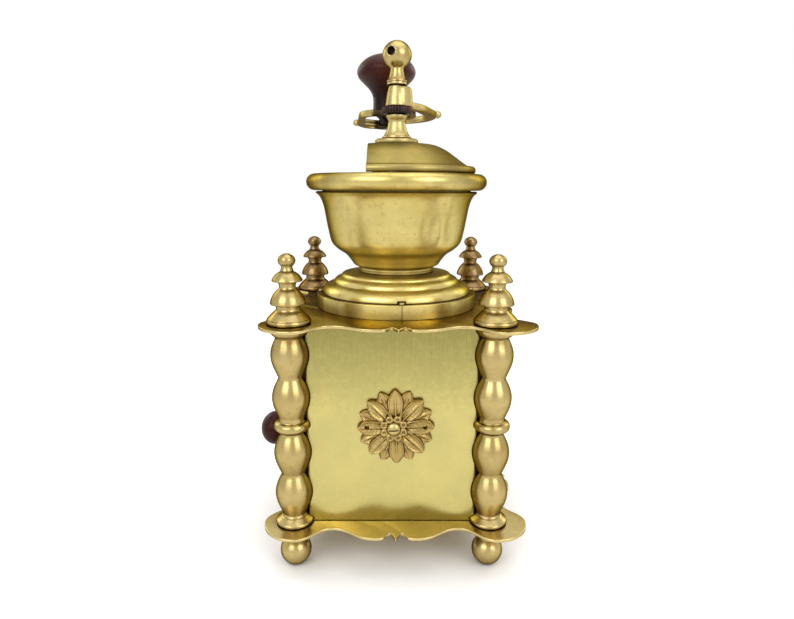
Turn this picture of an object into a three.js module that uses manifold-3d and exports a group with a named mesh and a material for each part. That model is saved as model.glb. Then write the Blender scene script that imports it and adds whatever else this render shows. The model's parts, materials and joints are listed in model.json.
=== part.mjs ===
// Brass column coffee grinder: four turned posts between two shaped plates, a drawer below,
// a conical burr under a spun hopper, and an openwork crank with a wooden handle.
// Millimetres, +Z up. The grinding axis is the model's own centre until the last lines,
// which move the origin to the middle of the outer box, on the surface that the feet stand on.

import * as THREE from 'three';
import { mergeVertices } from 'three/addons/utils/BufferGeometryUtils.js';
import Module from 'manifold-3d';

const wasm = await Module();
wasm.setup();

// Clearances
const GAP = 0.3;
const RUNNING = 0.35;

// Case: posts, plates, feet and panels; posts and panels stand a little left of the grinding axis
const POST_SPACING = 100;
const CASE_SHIFT = - 2;
const FOOT_HEIGHT = 22;
const CASE_HEIGHT = 103.5;
const PLATE_WALL = 1.5;
const PLATE_LOBE = 17.5;
const BOTTOM_WAIST_DEPTH = 10.5;
const BOTTOM_BULGE_DEPTH = 1.5;
const TOP_WAIST_DEPTH = 12.5;
const TOP_BULGE_DEPTH = 5;
const TOP_PLATE_SHIFT = 1;
const PLATE_WAIST_AT = 32;
const PLATE_BULGE_AT = 11.5;
const PLATE_NOTCH_AT = 6;
const PLATE_NOTCH_INNER = 2.75;
const PLATE_NOTCH_DEPTH = 4.5;
const FOOT_BALL = 8;
const FOOT_FLAT = 2.5;
const FOOT_NECK = 4.5;
const FOOT_FLARE = 1.4;
const POST_BELLY = 9.3;
const POST_NECK = 5.85;
const POST_RING = 9;
const POST_COLLAR = 9.6;
const POST_FOOT_COLLAR_HEIGHT = 5.1;
const POST_HEAD_COLLAR_HEIGHT = 5.4;
const POST_RING_HEIGHT = 7.2;
const POST_OVOIDS = 4;
const POST_LAST_OVOID = 0.92;
const ROD_RADIUS = 2;
const ROD_DEPTH = 15;
const ROD_DEPTH_IN_FOOT = 9;
const FINIAL_FOOT = 10.8;
const FINIAL_HEIGHT = 33.6;
const SHEET = 1;
const PANEL_BEND = 2.5;
const PANEL_FLANGE = 8;
const PANEL_TO_COLLAR = 0.3;

// Rosette on the front panel
const ROSETTE_ABOVE_MIDDLE = 0.75;
const ROSETTE_RADIUS = 19.8;
const ROSETTE_MINOR = 18.7;
const ROSETTE_PETALS = 8;
const PETAL_WIDTH = 4.3;
const MINOR_PETAL_WIDTH = 4;
const ROSETTE_EDGE = 0.9;
const ROSETTE_BOSS = 2.6;
const FLORET_AT = 5.5;
const FLORET_RADIUS = 1.7;
const ROSETTE_PIN_HOLE = 1.2;
const ROSETTE_PIN_AT = 14.5;
const M4_RADIUS = 2;
const M4_HEAD = 3.5;
const M4_HEAD_HEIGHT = 2.2;
const M4_NUT = 4;
const M4_NUT_HEIGHT = 2.4;
const ROSETTE_SCREW_LENGTH = 7.5;

// Drawer
const DRAWER_FRONT_HEIGHT = 59;
const DRAWER_GAP = 0.4;
const TRAY_HEIGHT = 50;
const TRAY_SIDE_CLEARANCE = 12;
const TRAY_BACK_CLEARANCE = 10;
const RUNNER_HEIGHT = 8;
const RUNNER_FOOT = 5;
const RUNNER_END_CLEARANCE = 4.1;
const KNOB_RADIUS = 9.7;
const KNOB_LENGTH = 26.7;
const KNOB_SQUASH = 0.85;
const KNOB_BORE_DEPTH = 15;
const KNOB_SCREW_LENGTH = 14.5;

// Grinding axis: shaft, burrs and the bridge that carries the shaft's lower end
const SHAFT_RADIUS = 4;
const SPINDLE_RADIUS = 2.5;
const SPINDLE_STEP_BELOW_LID = 11.5;
const SHAFT_BELOW_BRIDGE = 2;
const SQUARE_SIDE = 3.5;
const SQUARE_SHORT_OF_WASHER = 2;
const SQUARE_BELOW_HUB = 2;
const THREAD_RADIUS = 2;
const THREAD_REACH = 6.5;
const BURR_BELOW_DECK = 26.5;
const BURR_HEIGHT = 29;
const BURR_FOOT_RADIUS = 15;
const BURR_HEAD_RADIUS = 8.6;
const BURR_TEETH = 10;
const BURR_TOOTH_FINE = 0.8;
const BURR_TOOTH_COARSE = 2.4;
const BURR_TWIST = 0.95;
const RING_TEETH = 12;
const RING_TOOTH = 1.3;
const GRIND_GAP_FINE = 0.7;
const GRIND_GAP_COARSE = 4.2;
const THROAT_RADIUS = 16;
const THROAT_WALL = 2.7;
const THROAT_RISE = 20.3;
const BURR_FLANGE_RADIUS = 30;
const BURR_FLANGE = 2.7;
const BURR_SCREW_CIRCLE = 26;
const BURR_SCREW_RADIUS = 1.8;
const BURR_SCREW_HEAD = 3.3;
const BURR_SCREW_HEAD_HEIGHT = 2;
const BURR_SCREW_LENGTH = 8;
const BURR_NUT = 7;
const BURR_NUT_HEIGHT = 4.6;
const BRIDGE_STRAP = 2.5;
const BRIDGE_WIDTH = 12;
const BRIDGE_LEG_AT = 20;
const BRIDGE_BELOW_BURR = 16;
const BRIDGE_LUG = 5;
const BRIDGE_BOSS = 8;
const BRIDGE_BOSS_HEIGHT = 7;

// Hopper: band, stepped base, bowl, rim and half-open dome
const HOPPER_TURN = THREE.MathUtils.degToRad( 3.6 );
const BAND_RADIUS = 44;
const BAND_WALL = 4.6;
const BAND_HEIGHT = 7.2;
const BAND_SEAM = 0.5;
const BASE_WALL = 1;
const BASE_RISE = 11.5;
const BASE_ROLL_INSET = 3;
const BAND_SCREW_INSET = 2.3;
const BAND_SCREW_HEAD = 1.55;
const BAND_SCREW_HEAD_HEIGHT = 1.1;
const BAND_SCREW_SHANK = 1;
const BAND_SCREW_LENGTH = 6.7;
const BAND_SCREW_NOTCH = 2.9;
const BOWL_WALL = 1;
const BOWL_NECK = 20.4;
const BOWL_RISE = 43.4;
const RIM_RADIUS = 48.6;
const RIM_HEIGHT = 8.9;
const RIM_BEAD = 4.3;
const RIM_WALL = 1.2;
const RIM_LEDGE = 9.6;
const RIM_SKIRT = 3;
const DOME_WALL = 1.2;
const DOME_RISE = 15.1;
const DOME_INSET = 6.1;
const DOME_CUT = 14.8;
const SHUTTER_WALL = 0.8;
const SHUTTER_GAP = 0.8;
const SHUTTER_CUT = 9;
const SHUTTER_LIP = 3.5;
const COLLAR_RADIUS = 11.5;
const COLLAR_HEIGHT = 2.4;
const SLEEVE_RADIUS = 7.8;
const SLEEVE_HEIGHT = 12.2;
const STUB_RADIUS = 4.5;
const STUB_BELOW_NUT = 2;
const SLEEVE_NUT = 7.5;
const SLEEVE_NUT_HEIGHT = 3.5;

// Crank
const ADJUSTER_RADIUS = 7.8;
const ADJUSTER_HEIGHT = 3.4;
const ADJUSTER_NOTCHES = 16;
const HUB_FOOT = 6.4;
const HUB_HEAD = 5.1;
const HUB_HEIGHT = 10.9;
const HUB_SHOULDER_AT = [ 2.9, 1.5 ];
const ARM_LENGTH = 105;
const ARM_PATTERN_LENGTH = 105;
const ARM_THICKNESS = 3.7;
const ARM_TURN = THREE.MathUtils.degToRad( 3.7 );
const BOSS_RADIUS = 8.5;
const BOSS_DROP = 1.2;
const WASHER_HEIGHT = 0.7;
const BALL_RADIUS = 7.95;
const BALL_NUT_HEIGHT = 21;
const BALL_NUT_BORE_DEPTH = 9;
const BALL_HOLE = 2.2;
const BALL_HOLE_TURN = THREE.MathUtils.degToRad( 27 );
const PIN_RADIUS = 3;
const PIN_HEAD = 4.2;
const PIN_RECESS = 2.6;
const FERRULE_RADIUS = 5.3;
const FERRULE_HEIGHT = 4.4;
const HANDLE_RADIUS = 20.3;
const HANDLE_HEIGHT = 39.1;
const HANDLE_FOOT = 9.5;

// Facets round a full turn
const SIDES_WIDE = 20;
const SIDES_TURNED = 10;
const SIDES_SMALL = 8;
const SIDES_HEX = 6;

// Levels that follow from the sizes above
const postAt = POST_SPACING / 2;
const bottomDeck = FOOT_HEIGHT + PLATE_WALL;
const topUnderside = bottomDeck + CASE_HEIGHT;
const topDeck = topUnderside + PLATE_WALL;
const panelBottom = bottomDeck + GAP;
const panelTop = topUnderside - GAP;
const panelHalf = postAt - POST_COLLAR - PANEL_TO_COLLAR;
const rosetteZ = ( panelBottom + panelTop ) / 2 + ROSETTE_ABOVE_MIDDLE;
const drawerFoot = panelBottom + GAP;
const knobZ = drawerFoot + DRAWER_FRONT_HEIGHT / 2;
const trayHalf = postAt - TRAY_SIDE_CLEARANCE;
const trayBack = postAt - TRAY_BACK_CLEARANCE;
const burrFoot = topDeck - BURR_BELOW_DECK;
const burrHead = burrFoot + BURR_HEIGHT;
const bridgeFoot = burrFoot - BRIDGE_BELOW_BURR;
const shaftFoot = bridgeFoot - SHAFT_BELOW_BRIDGE;
const bandTop = topDeck + GAP + BAND_HEIGHT;
const bandScrewAt = BAND_RADIUS - BAND_SCREW_INSET;
const baseFoot = bandTop + GAP;
const bowlFoot = baseFoot + BASE_RISE;
const rimFoot = bowlFoot + BOWL_RISE;
const rimTop = rimFoot + RIM_HEIGHT;
const rimBore = RIM_RADIUS - RIM_LEDGE;
const domeFoot = rimTop + GAP;
const domeTop = domeFoot + DOME_RISE;
const collarFoot = domeTop + GAP;
const sleeveFoot = collarFoot + COLLAR_HEIGHT + GAP;
const adjusterFoot = sleeveFoot + SLEEVE_HEIGHT + GAP;
const hubFoot = adjusterFoot + ADJUSTER_HEIGHT + GAP;
const washerFoot = hubFoot + HUB_HEIGHT + GAP;
const ballNutFoot = washerFoot + WASHER_HEIGHT + GAP;
const armTop = hubFoot + ARM_THICKNESS;
const ferruleTop = armTop + GAP + FERRULE_HEIGHT;
const handleFoot = ferruleTop + GAP;
const spindleStep = domeTop - DOME_WALL - SPINDLE_STEP_BELOW_LID;

// Materials
function sheetBrass() {

	return new THREE.MeshStandardMaterial( { color: 0xb9a345, roughness: 0.34, metalness: 1 } );

}

function castBrass() {

	return new THREE.MeshStandardMaterial( { color: 0xb58e4e, roughness: 0.4, metalness: 1 } );

}

function darkSteel() {

	return new THREE.MeshStandardMaterial( { color: 0x4a4542, roughness: 0.45, metalness: 1 } );

}

function brightSteel() {

	return new THREE.MeshStandardMaterial( { color: 0x9c9c99, roughness: 0.35, metalness: 1 } );

}

function wood() {

	return new THREE.MeshStandardMaterial( { color: 0x4a1f14, roughness: 0.42, metalness: 0 } );

}

// A closed geometry as a solid that can be joined and cut
function solid( geometry ) {

	const bare = geometry.clone();
	bare.deleteAttribute( 'normal' );
	bare.deleteAttribute( 'uv' );
	const merged = mergeVertices( bare, 1e-4 );
	return new wasm.Manifold( new wasm.Mesh( {
		numProp: 3,
		vertProperties: merged.attributes.position.array,
		triVerts: new Uint32Array( merged.index.array ),
	} ) );

}

// A solid as a geometry that a mesh can show
function surface( body ) {

	const { vertProperties, triVerts } = body.getMesh();
	const geometry = new THREE.BufferGeometry();
	geometry.setAttribute( 'position', new THREE.BufferAttribute( vertProperties, 3 ) );
	geometry.setIndex( new THREE.BufferAttribute( triVerts, 1 ) );
	const flat = geometry.toNonIndexed();
	flat.computeVertexNormals();
	return flat;

}

function piece( name, body, material ) {

	const mesh = new THREE.Mesh( surface( body ), material );
	mesh.name = name;
	return mesh;

}

const point = ( x, y ) => new THREE.Vector2( x, y );

// Points of a profile given as [ radius, height ] pairs above a foot level
function above( foot, pairs ) {

	return pairs.map( ( [ r, z ] ) => point( r, foot + z ) );

}

// Points on an ellipse, from one angle to another, both included
function arc( cx, cy, rx, ry, from, to, steps ) {

	return Array.from( { length: steps + 1 }, ( _, i ) => {

		const a = THREE.MathUtils.degToRad( from + ( to - from ) * i / steps );
		return point( cx + rx * Math.cos( a ), cy + ry * Math.sin( a ) );

	} );

}

// A profile in radius and height turned about Z; it starts and ends on the axis
function turned( profile, sides ) {

	const rising = THREE.ShapeUtils.area( profile ) > 0 ? profile : profile.slice().reverse();
	return solid( new THREE.LatheGeometry( rising, sides ).rotateX( Math.PI / 2 ) );

}

// The same for a profile clear of the axis, which closes on itself
function turnedRing( profile, sides ) {

	const loop = THREE.ShapeUtils.area( profile ) > 0 ? profile : profile.slice().reverse();
	return solid( new THREE.LatheGeometry( [ ...loop, loop[ 0 ] ], sides ).rotateX( Math.PI / 2 ) );

}

// The points of a path moved sideways, to its right for a positive distance
function offset( path, distance ) {

	return path.map( ( p, i ) => {

		const before = path[ Math.max( i - 1, 0 ) ];
		const after = path[ Math.min( i + 1, path.length - 1 ) ];
		const a = p.clone().sub( i ? before : p.clone().multiplyScalar( 2 ).sub( after ) ).normalize();
		const b = ( i < path.length - 1 ? after.clone().sub( p ) : a.clone() ).normalize();
		const mitre = a.clone().add( b ).normalize();
		const reach = distance / Math.max( mitre.dot( b ), 0.5 );
		return point( p.x + mitre.y * reach, p.y - mitre.x * reach );

	} );

}

// A closed outline for sheet of one thickness that follows a path
function sheetAlong( path, wall ) {

	return [ ...path, ...offset( path, wall ).reverse() ];

}

// An outline in plan raised between two heights
function prism( outline, low, high ) {

	const geometry = new THREE.ExtrudeGeometry( new THREE.Shape( outline ), {
		depth: high - low,
		bevelEnabled: false,
	} );
	return solid( geometry.translate( 0, 0, low ) );

}

// An outline in X and Z given a width along Y, centred on the axis
function prismAcross( outline, width ) {

	const geometry = new THREE.ExtrudeGeometry( new THREE.Shape( outline ), {
		depth: width,
		bevelEnabled: false,
	} );
	return solid( geometry.rotateX( Math.PI / 2 ).translate( 0, width / 2, 0 ) );

}

function block( x0, x1, y0, y1, z0, z1 ) {

	const geometry = new THREE.BoxGeometry( x1 - x0, y1 - y0, z1 - z0 );
	return solid( geometry.translate( ( x0 + x1 ) / 2, ( y0 + y1 ) / 2, ( z0 + z1 ) / 2 ) );

}

// An upright rod, or a drill for cutting
function rod( radius, low, high, sides, x = 0, y = 0 ) {

	const geometry = new THREE.CylinderGeometry( radius, radius, high - low, sides );
	return solid( geometry.rotateX( Math.PI / 2 ).translate( x, y, ( low + high ) / 2 ) );

}

// A rod along Y at a given X and Z
function rodAlongY( radius, near, far, sides, x = 0, z = 0 ) {

	const geometry = new THREE.CylinderGeometry( radius, radius, far - near, sides );
	return solid( geometry.translate( x, ( near + far ) / 2, z ) );

}

// A tapering body of rings of points, closed by a point in the middle of each end
function ringLoft( rings ) {

	const count = rings[ 0 ].length;
	const mid = ( ring ) => new THREE.Vector3( 0, 0, ring[ 0 ].z );
	const points = [ ...rings.flat(), mid( rings[ 0 ] ), mid( rings[ rings.length - 1 ] ) ];
	const foot = points.length - 2;
	const head = points.length - 1;
	const last = ( rings.length - 1 ) * count;
	const faces = [];
	for ( let j = 0; j < count; j ++ ) {

		const next = ( j + 1 ) % count;
		faces.push( foot, next, j );
		faces.push( head, last + j, last + next );
		for ( let row = 0; row < last; row += count ) {

			faces.push( row + j, row + next, row + count + next );
			faces.push( row + j, row + count + next, row + count + j );

		}

	}

	const geometry = new THREE.BufferGeometry().setFromPoints( points );
	geometry.setIndex( faces );
	return solid( geometry );

}

const atCorners = [ [ - 1, - 1, 'front_left' ], [ 1, - 1, 'front_right' ],
	[ - 1, 1, 'rear_left' ], [ 1, 1, 'rear_right' ] ];

// Half of one edge of a plate, from the middle of the corner lobe to the middle of the side,
// with how far its waist and its bulge lie inside the lobes
function plateHalfEdge( waistDepth, bulgeDepth ) {

	const reach = postAt + PLATE_LOBE;
	const waist = reach - waistDepth;
	const bulge = reach - bulgeDepth;
	const lobe = arc( - postAt, - postAt, PLATE_LOBE, PLATE_LOBE, 225, 270, 2 );
	const ogee = ( x0, y0, x1, y1 ) => {

		const lean = ( x1 - x0 ) * 0.42;
		return new THREE.CubicBezierCurve( point( x0, y0 ), point( x0 + lean, y0 ),
			point( x1 - lean, y1 ), point( x1, y1 ) ).getPoints( 3 ).slice( 1 );

	};

	const shoulder = new THREE.QuadraticBezierCurve( point( - PLATE_BULGE_AT, - bulge ),
		point( - PLATE_NOTCH_AT - 2, - bulge ), point( - PLATE_NOTCH_AT, - bulge + 1 ) );
	return [
		...lobe,
		...ogee( - postAt, - reach, - PLATE_WAIST_AT, - waist ),
		...ogee( - PLATE_WAIST_AT, - waist, - PLATE_BULGE_AT, - bulge ),
		...shoulder.getPoints( 2 ).slice( 1 ),
		point( - PLATE_NOTCH_INNER, - bulge + PLATE_NOTCH_DEPTH ),
	];

}

// The whole edge: four sides alike, each with a cusp between two notches
function plateOutline( waistDepth, bulgeDepth ) {

	const half = plateHalfEdge( waistDepth, bulgeDepth );
	const mirrored = half.map( ( p ) => point( - p.x, p.y ) ).reverse();
	const cusp = point( 0, bulgeDepth - postAt - PLATE_LOBE );
	const side = [ ...half, cusp, ...mirrored ].slice( 0, - 1 );
	const centre = point( 0, 0 );
	return [ 0, 1, 2, 3 ].flatMap( ( turn ) =>
		side.map( ( p ) => p.clone().rotateAround( centre, turn * Math.PI / 2 ) ) );

}

// A plate raised from its outline, drilled where the tie rods of the posts go through
function plate( outline, low ) {

	let body = prism( outline, low, low + PLATE_WALL );
	for ( const [ x, y ] of atCorners ) {

		const drill = rod( ROD_RADIUS + GAP, low - 1, low + PLATE_WALL + 1, SIDES_SMALL,
			x * postAt + CASE_SHIFT, y * postAt );
		body = body.subtract( drill );

	}

	return body;

}

function bottomPlate() {

	return plate( plateOutline( BOTTOM_WAIST_DEPTH, BOTTOM_BULGE_DEPTH ), FOOT_HEIGHT );

}

// The top plate sits a little right of the axis, and also has the holes of the throat and of the
// burr's screws
function topPlate() {

	const low = topUnderside - 1;
	const high = topDeck + 1;
	const outline = plateOutline( TOP_WAIST_DEPTH, TOP_BULGE_DEPTH );
	let body = plate( outline.map( ( p ) => point( p.x + TOP_PLATE_SHIFT, p.y ) ), topUnderside );
	body = body.subtract( rod( THROAT_RADIUS + THROAT_WALL + GAP, low, high, SIDES_WIDE ) );
	for ( const [ x, y ] of quarterPoints( BURR_SCREW_CIRCLE, 0 ) ) {

		body = body.subtract( rod( BURR_SCREW_RADIUS + GAP, low, high, SIDES_SMALL, x, y ) );

	}

	return body;

}

// Four places a quarter turn apart, turned on by an angle: front, right, rear, left
function quarterPoints( radius, turn ) {

	return [ 0, 1, 2, 3 ].map( ( k ) => {

		const a = turn + ( k - 1 ) * Math.PI / 2;
		return [ radius * Math.cos( a ), radius * Math.sin( a ) ];

	} );

}

// One foot: a ball with a flat to stand on, and a neck that flares under the plate
function foot() {

	const centre = Math.sqrt( FOOT_BALL ** 2 - FOOT_FLAT ** 2 );
	const low = - THREE.MathUtils.radToDeg( Math.acos( FOOT_FLAT / FOOT_BALL ) );
	const high = THREE.MathUtils.radToDeg( Math.acos( FOOT_NECK / FOOT_BALL ) );
	const top = FOOT_HEIGHT - GAP;
	const bore = ROD_RADIUS + GAP;
	const boreEnd = FOOT_HEIGHT - ROD_DEPTH_IN_FOOT - GAP;
	return turned( [
		point( 0, 0 ),
		...arc( 0, centre, FOOT_BALL, FOOT_BALL, low, high, 4 ),
		point( FOOT_NECK + 0.2 * FOOT_FLARE, top - 4 ),
		point( FOOT_NECK + FOOT_FLARE, top ),
		point( bore, top ),
		point( bore, boreEnd ),
		point( 0, boreEnd ),
	], SIDES_SMALL );

}

// One post: two ovoids, a ring and two ovoids between flared collars, bored for its tie rod
function post() {

	const height = CASE_HEIGHT - 2 * GAP;
	const plain = height - POST_FOOT_COLLAR_HEIGHT - POST_HEAD_COLLAR_HEIGHT - POST_RING_HEIGHT;
	const ovoid = plain / ( POST_OVOIDS - 1 + POST_LAST_OVOID );
	const low = bottomDeck + GAP;
	const high = low + height;
	const swell = ( t ) => POST_NECK + ( POST_BELLY - POST_NECK ) * Math.sin( Math.PI * t ** 1.1 );
	const bulge = ( foot ) => [ 0, 0.2, 0.5, 0.8 ].map( ( t ) => point( swell( t ), foot + t * ovoid ) );
	const firstOvoid = low + POST_FOOT_COLLAR_HEIGHT;
	const ring = firstOvoid + 2 * ovoid;
	const thirdOvoid = ring + POST_RING_HEIGHT;
	return turnedRing( [
		point( ROD_RADIUS + GAP, low ),
		point( POST_COLLAR - 0.6, low ),
		point( POST_COLLAR, low + 1 ),
		point( POST_NECK + 1.6, low + 3.1 ),
		...bulge( firstOvoid ),
		...bulge( firstOvoid + ovoid ),
		point( POST_NECK + 0.2, ring + 0.9 ),
		...arc( POST_RING - 1.8, ring + POST_RING_HEIGHT * 0.57, 1.8, 2.3, - 75, 75, 2 ),
		point( POST_NECK + 0.55, thirdOvoid - 0.3 ),
		...bulge( thirdOvoid ),
		...bulge( thirdOvoid + ovoid ),
		point( swell( POST_LAST_OVOID ), high - POST_HEAD_COLLAR_HEIGHT ),
		point( POST_COLLAR - 1, high - 3.2 ),
		point( POST_COLLAR - 0.1, high - 0.7 ),
		point( POST_COLLAR - 0.1, high ),
		point( ROD_RADIUS + GAP, high ),
	], SIDES_SMALL );

}

// One finial: a dished base, two bells and a ball, screwed down on the tie rod
function finial() {

	const foot = topDeck + GAP;
	const bore = ROD_RADIUS + GAP;
	return turned( [
		point( 0, foot + ROD_DEPTH + GAP ),
		point( bore, foot + ROD_DEPTH + GAP ),
		point( bore, foot ),
		...above( foot, [ [ FINIAL_FOOT - 0.4, 0 ], [ FINIAL_FOOT, 1.3 ], [ 10.2, 2.4 ], [ 7.5, 5.2 ],
			[ 5.7, 7.3 ], [ 5.9, 9 ] ] ),
		...above( foot, [ [ 8.5, 9.6 ], [ 8.1, 11.5 ], [ 5.6, 15.6 ], [ 3.9, 17.7 ], [ 4.6, 20 ] ] ),
		...above( foot, [ [ 7.3, 20.7 ], [ 5.8, 23.2 ], [ 2.9, 25.4 ], [ 2.65, 27.3 ] ] ),
		...above( foot, [ [ 4.15, 30.1 ], [ 3.3, 32.3 ], [ 1.35, 33 ] ] ),
		point( 0, foot + FINIAL_HEIGHT ),
	], SIDES_SMALL );

}

// The tie rod that clamps foot, plates, post and finial together
function tieRod() {

	return rod( ROD_RADIUS, FOOT_HEIGHT - ROD_DEPTH_IN_FOOT, topDeck + ROD_DEPTH, SIDES_SMALL );

}

// A shallow pan of bent sheet: its face looks along -Y, its flanges run inwards
function pan( halfWidth, low, high ) {

	const face = - postAt;
	const back = face + PANEL_FLANGE;
	const bend = ( side, from, to ) => arc( side * ( halfWidth - PANEL_BEND ), face + PANEL_BEND,
		PANEL_BEND, PANEL_BEND, from, to, 3 );
	const path = [
		point( - halfWidth, back ),
		...bend( - 1, 180, 270 ),
		...bend( 1, 270, 360 ),
		point( halfWidth, back ),
	];
	return prism( sheetAlong( path, - SHEET ), low, high );

}

// The front panel is drilled on the grinding axis, where the rosette sits
function frontPanel() {

	const drill = rodAlongY( M4_RADIUS + GAP, - postAt - 5, - postAt + 5, SIDES_SMALL, - CASE_SHIFT,
		rosetteZ );
	return pan( panelHalf, panelBottom, panelTop ).subtract( drill );

}

// How far a petal reaches sideways at a share of its length
function petalHalfWidth( share, width ) {

	return width * Math.sin( Math.PI * Math.min( Math.max( share, 0 ), 1 ) ** 0.8 );

}

// Where a ray that leaves the middle at an angle to a petal's axis runs out of that petal
function petalReach( angle, length, width ) {

	if ( Math.abs( angle ) > Math.PI / 4 ) return 0;
	let reach = 0;
	for ( let r = 5; r <= length; r += 0.1 ) {

		const inside = Math.abs( r * Math.sin( angle ) )
			<= petalHalfWidth( r * Math.cos( angle ) / length, width ) + 0.02;
		if ( inside ) reach = r;

	}

	return reach;

}

// How high a petal stands at a point along and across it: domed, with a sunk midrib
function petalHeight( along, across, length, width, base, crown ) {

	const half = petalHalfWidth( along / length, width );
	if ( half < 0.2 || Math.abs( across ) > half ) return 0;
	const dome = Math.sqrt( 1 - ( across / half ) ** 2 );
	const groove = 0.55 * Math.exp( - ( ( across / 0.8 ) ** 2 ) );
	return base + crown * dome - groove;

}

// The rosette's relief: major petals in front, minor ones between and behind, a ring of florets
function rosetteRelief( r, angle ) {

	const step = 2 * Math.PI / ROSETTE_PETALS;
	const turn = ( shift ) => {

		const a = angle - shift;
		return a - Math.round( a / step ) * step;

	};

	const major = turn( 0 );
	const minor = turn( step / 2 );
	const floret = Math.hypot( r * Math.cos( minor ) - FLORET_AT, r * Math.sin( minor ) ) / FLORET_RADIUS;
	const bead = floret < 1 ? ROSETTE_BOSS + Math.sqrt( 1 - floret ** 2 ) : 0;
	const boss = r < FLORET_AT - FLORET_RADIUS ? ROSETTE_BOSS : 0;
	return Math.max( ROSETTE_EDGE, bead, boss,
		petalHeight( r * Math.cos( major ), r * Math.sin( major ), ROSETTE_RADIUS, PETAL_WIDTH, 1.6, 1.5 ),
		petalHeight( r * Math.cos( minor ), r * Math.sin( minor ), ROSETTE_MINOR, MINOR_PETAL_WIDTH, 0.9, 1.1 ) );

}

// The cast rosette, lying on its back on the XY plane
function rosette() {

	const columns = ROSETTE_PETALS * 6;
	const middle = FLORET_AT + FLORET_RADIUS;
	const step = 2 * Math.PI / ROSETTE_PETALS;
	const ringAt = ( share, lift ) => Array.from( { length: columns }, ( _, j ) => {

		const angle = 2 * Math.PI * j / columns;
		const near = angle - Math.round( angle / step ) * step;
		const between = angle - step / 2 - Math.round( ( angle - step / 2 ) / step ) * step;
		const edge = Math.max( petalReach( near, ROSETTE_RADIUS, PETAL_WIDTH ),
			petalReach( between, ROSETTE_MINOR, MINOR_PETAL_WIDTH ) );
		const r = share < 0 ? - share : middle + ( edge - middle ) * share;
		const z = lift === null ? rosetteRelief( r * 0.995, angle ) : lift;
		return new THREE.Vector3( r * Math.cos( angle ), r * Math.sin( angle ), z );

	} );

	let body = ringLoft( [
		ringAt( 1, 0 ),
		ringAt( 1, ROSETTE_EDGE ),
		...[ 0.85, 0.45, 0 ].map( ( share ) => ringAt( share, null ) ),
		...[ 0.4, - 0.4, - 1.01 ].map( ( side ) => ringAt( - FLORET_AT - side * FLORET_RADIUS, null ) ),
	] );
	body = body.subtract( rod( M4_RADIUS + GAP, - 1, 9, SIDES_SMALL ) );
	for ( const side of [ - 1, 1 ] ) {

		body = body.subtract( rod( ROSETTE_PIN_HOLE, - 1, 9, SIDES_HEX + 2, side * ROSETTE_PIN_AT, 0 ) );

	}

	return body;

}

// A domed screw standing head up, the underside of its head at height 0
function domedScrew( headRadius, headHeight, shankRadius, shankLength, sides ) {

	return turned( [
		point( 0, - shankLength ),
		point( shankRadius, - shankLength ),
		point( shankRadius, 0 ),
		point( headRadius, 0 ),
		point( headRadius * 0.8, headHeight * 0.75 ),
		point( 0, headHeight ),
	], sides );

}

// A hexagonal nut round the axis
function hexNut( radius, bore, low, high ) {

	return rod( radius, low, high, SIDES_HEX ).subtract( rod( bore, low - 1, high + 1, SIDES_TURNED ) );

}

// Stands a body that was built along Z out from the front of the case, at a height
function onFront( body, out, z ) {

	return body.rotate( [ 90, 0, 0 ] ).translate( [ 0, - out, z ] );

}

// The split band that the hopper stands on
function hopperBand() {

	const low = topDeck + GAP;
	const inner = BAND_RADIUS - BAND_WALL;
	let body = turnedRing( [
		point( inner, low ),
		point( BAND_RADIUS, low ),
		point( BAND_RADIUS, bandTop - 0.6 ),
		point( BAND_RADIUS - 0.6, bandTop ),
		point( inner, bandTop ),
	], SIDES_WIDE );
	const half = BAND_SEAM / 2;
	const seam = block( - half, half, - BAND_RADIUS - 1, - inner + 1, low - 1, bandTop + 1 );
	body = body.subtract( seam.rotate( [ 0, 0, THREE.MathUtils.radToDeg( HOPPER_TURN ) ] ) );
	for ( const [ x, y ] of quarterPoints( bandScrewAt, HOPPER_TURN ) ) {

		body = body.subtract( rod( BAND_SCREW_SHANK + GAP, low - 1, bandTop + 1, SIDES_HEX, x, y ) );

	}

	return body;

}

// The outer line of the stepped base, from its foot up to the neck
function basePath() {

	const roll = BAND_RADIUS - BASE_ROLL_INSET;
	return [
		...arc( roll - 5.8, baseFoot + 0.2, 5.8, 4.9, 0, 80, 3 ),
		...arc( 31, baseFoot + 5.3, 3.7, 3.2, 5, 80, 2 ),
		...arc( 28.2, baseFoot + 8.9, 2.3, 1.8, 10, 90, 1 ),
		point( BOWL_NECK + 1.4, bowlFoot - GAP - 0.1 ),
		point( BOWL_NECK - BOWL_WALL - 0.2, bowlFoot - GAP ),
	];

}

// The spun base, a skirt of stepped rolls, notched where its screws go down
function hopperBase() {

	let body = turnedRing( sheetAlong( basePath(), - BASE_WALL ), SIDES_WIDE );
	for ( const [ x, y ] of quarterPoints( bandScrewAt, HOPPER_TURN ) ) {

		body = body.subtract( rod( BAND_SCREW_NOTCH, bandTop - 1, baseFoot + 2.4, SIDES_HEX, x, y ) );

	}

	return body;

}

// The outer line of the bowl, from its neck up to the lip under the rim
function bowlPath() {

	const lip = RIM_RADIUS - RIM_BEAD;
	return [
		...above( bowlFoot, [ [ BOWL_NECK, 0 ], [ BOWL_NECK, 2.2 ], [ BOWL_NECK + 3, 3.7 ],
			[ 27.2, 9 ], [ 33.2, 13 ], [ 35.8, 16 ] ] ),
		...above( rimFoot, [ [ lip - 5, - 9.4 ], [ lip - 3.1, - 3.4 ], [ lip - 0.4, - 1 ] ] ),
	];

}

function hopperBowl() {

	return turnedRing( sheetAlong( bowlPath(), - BOWL_WALL ), SIDES_WIDE );

}

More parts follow.
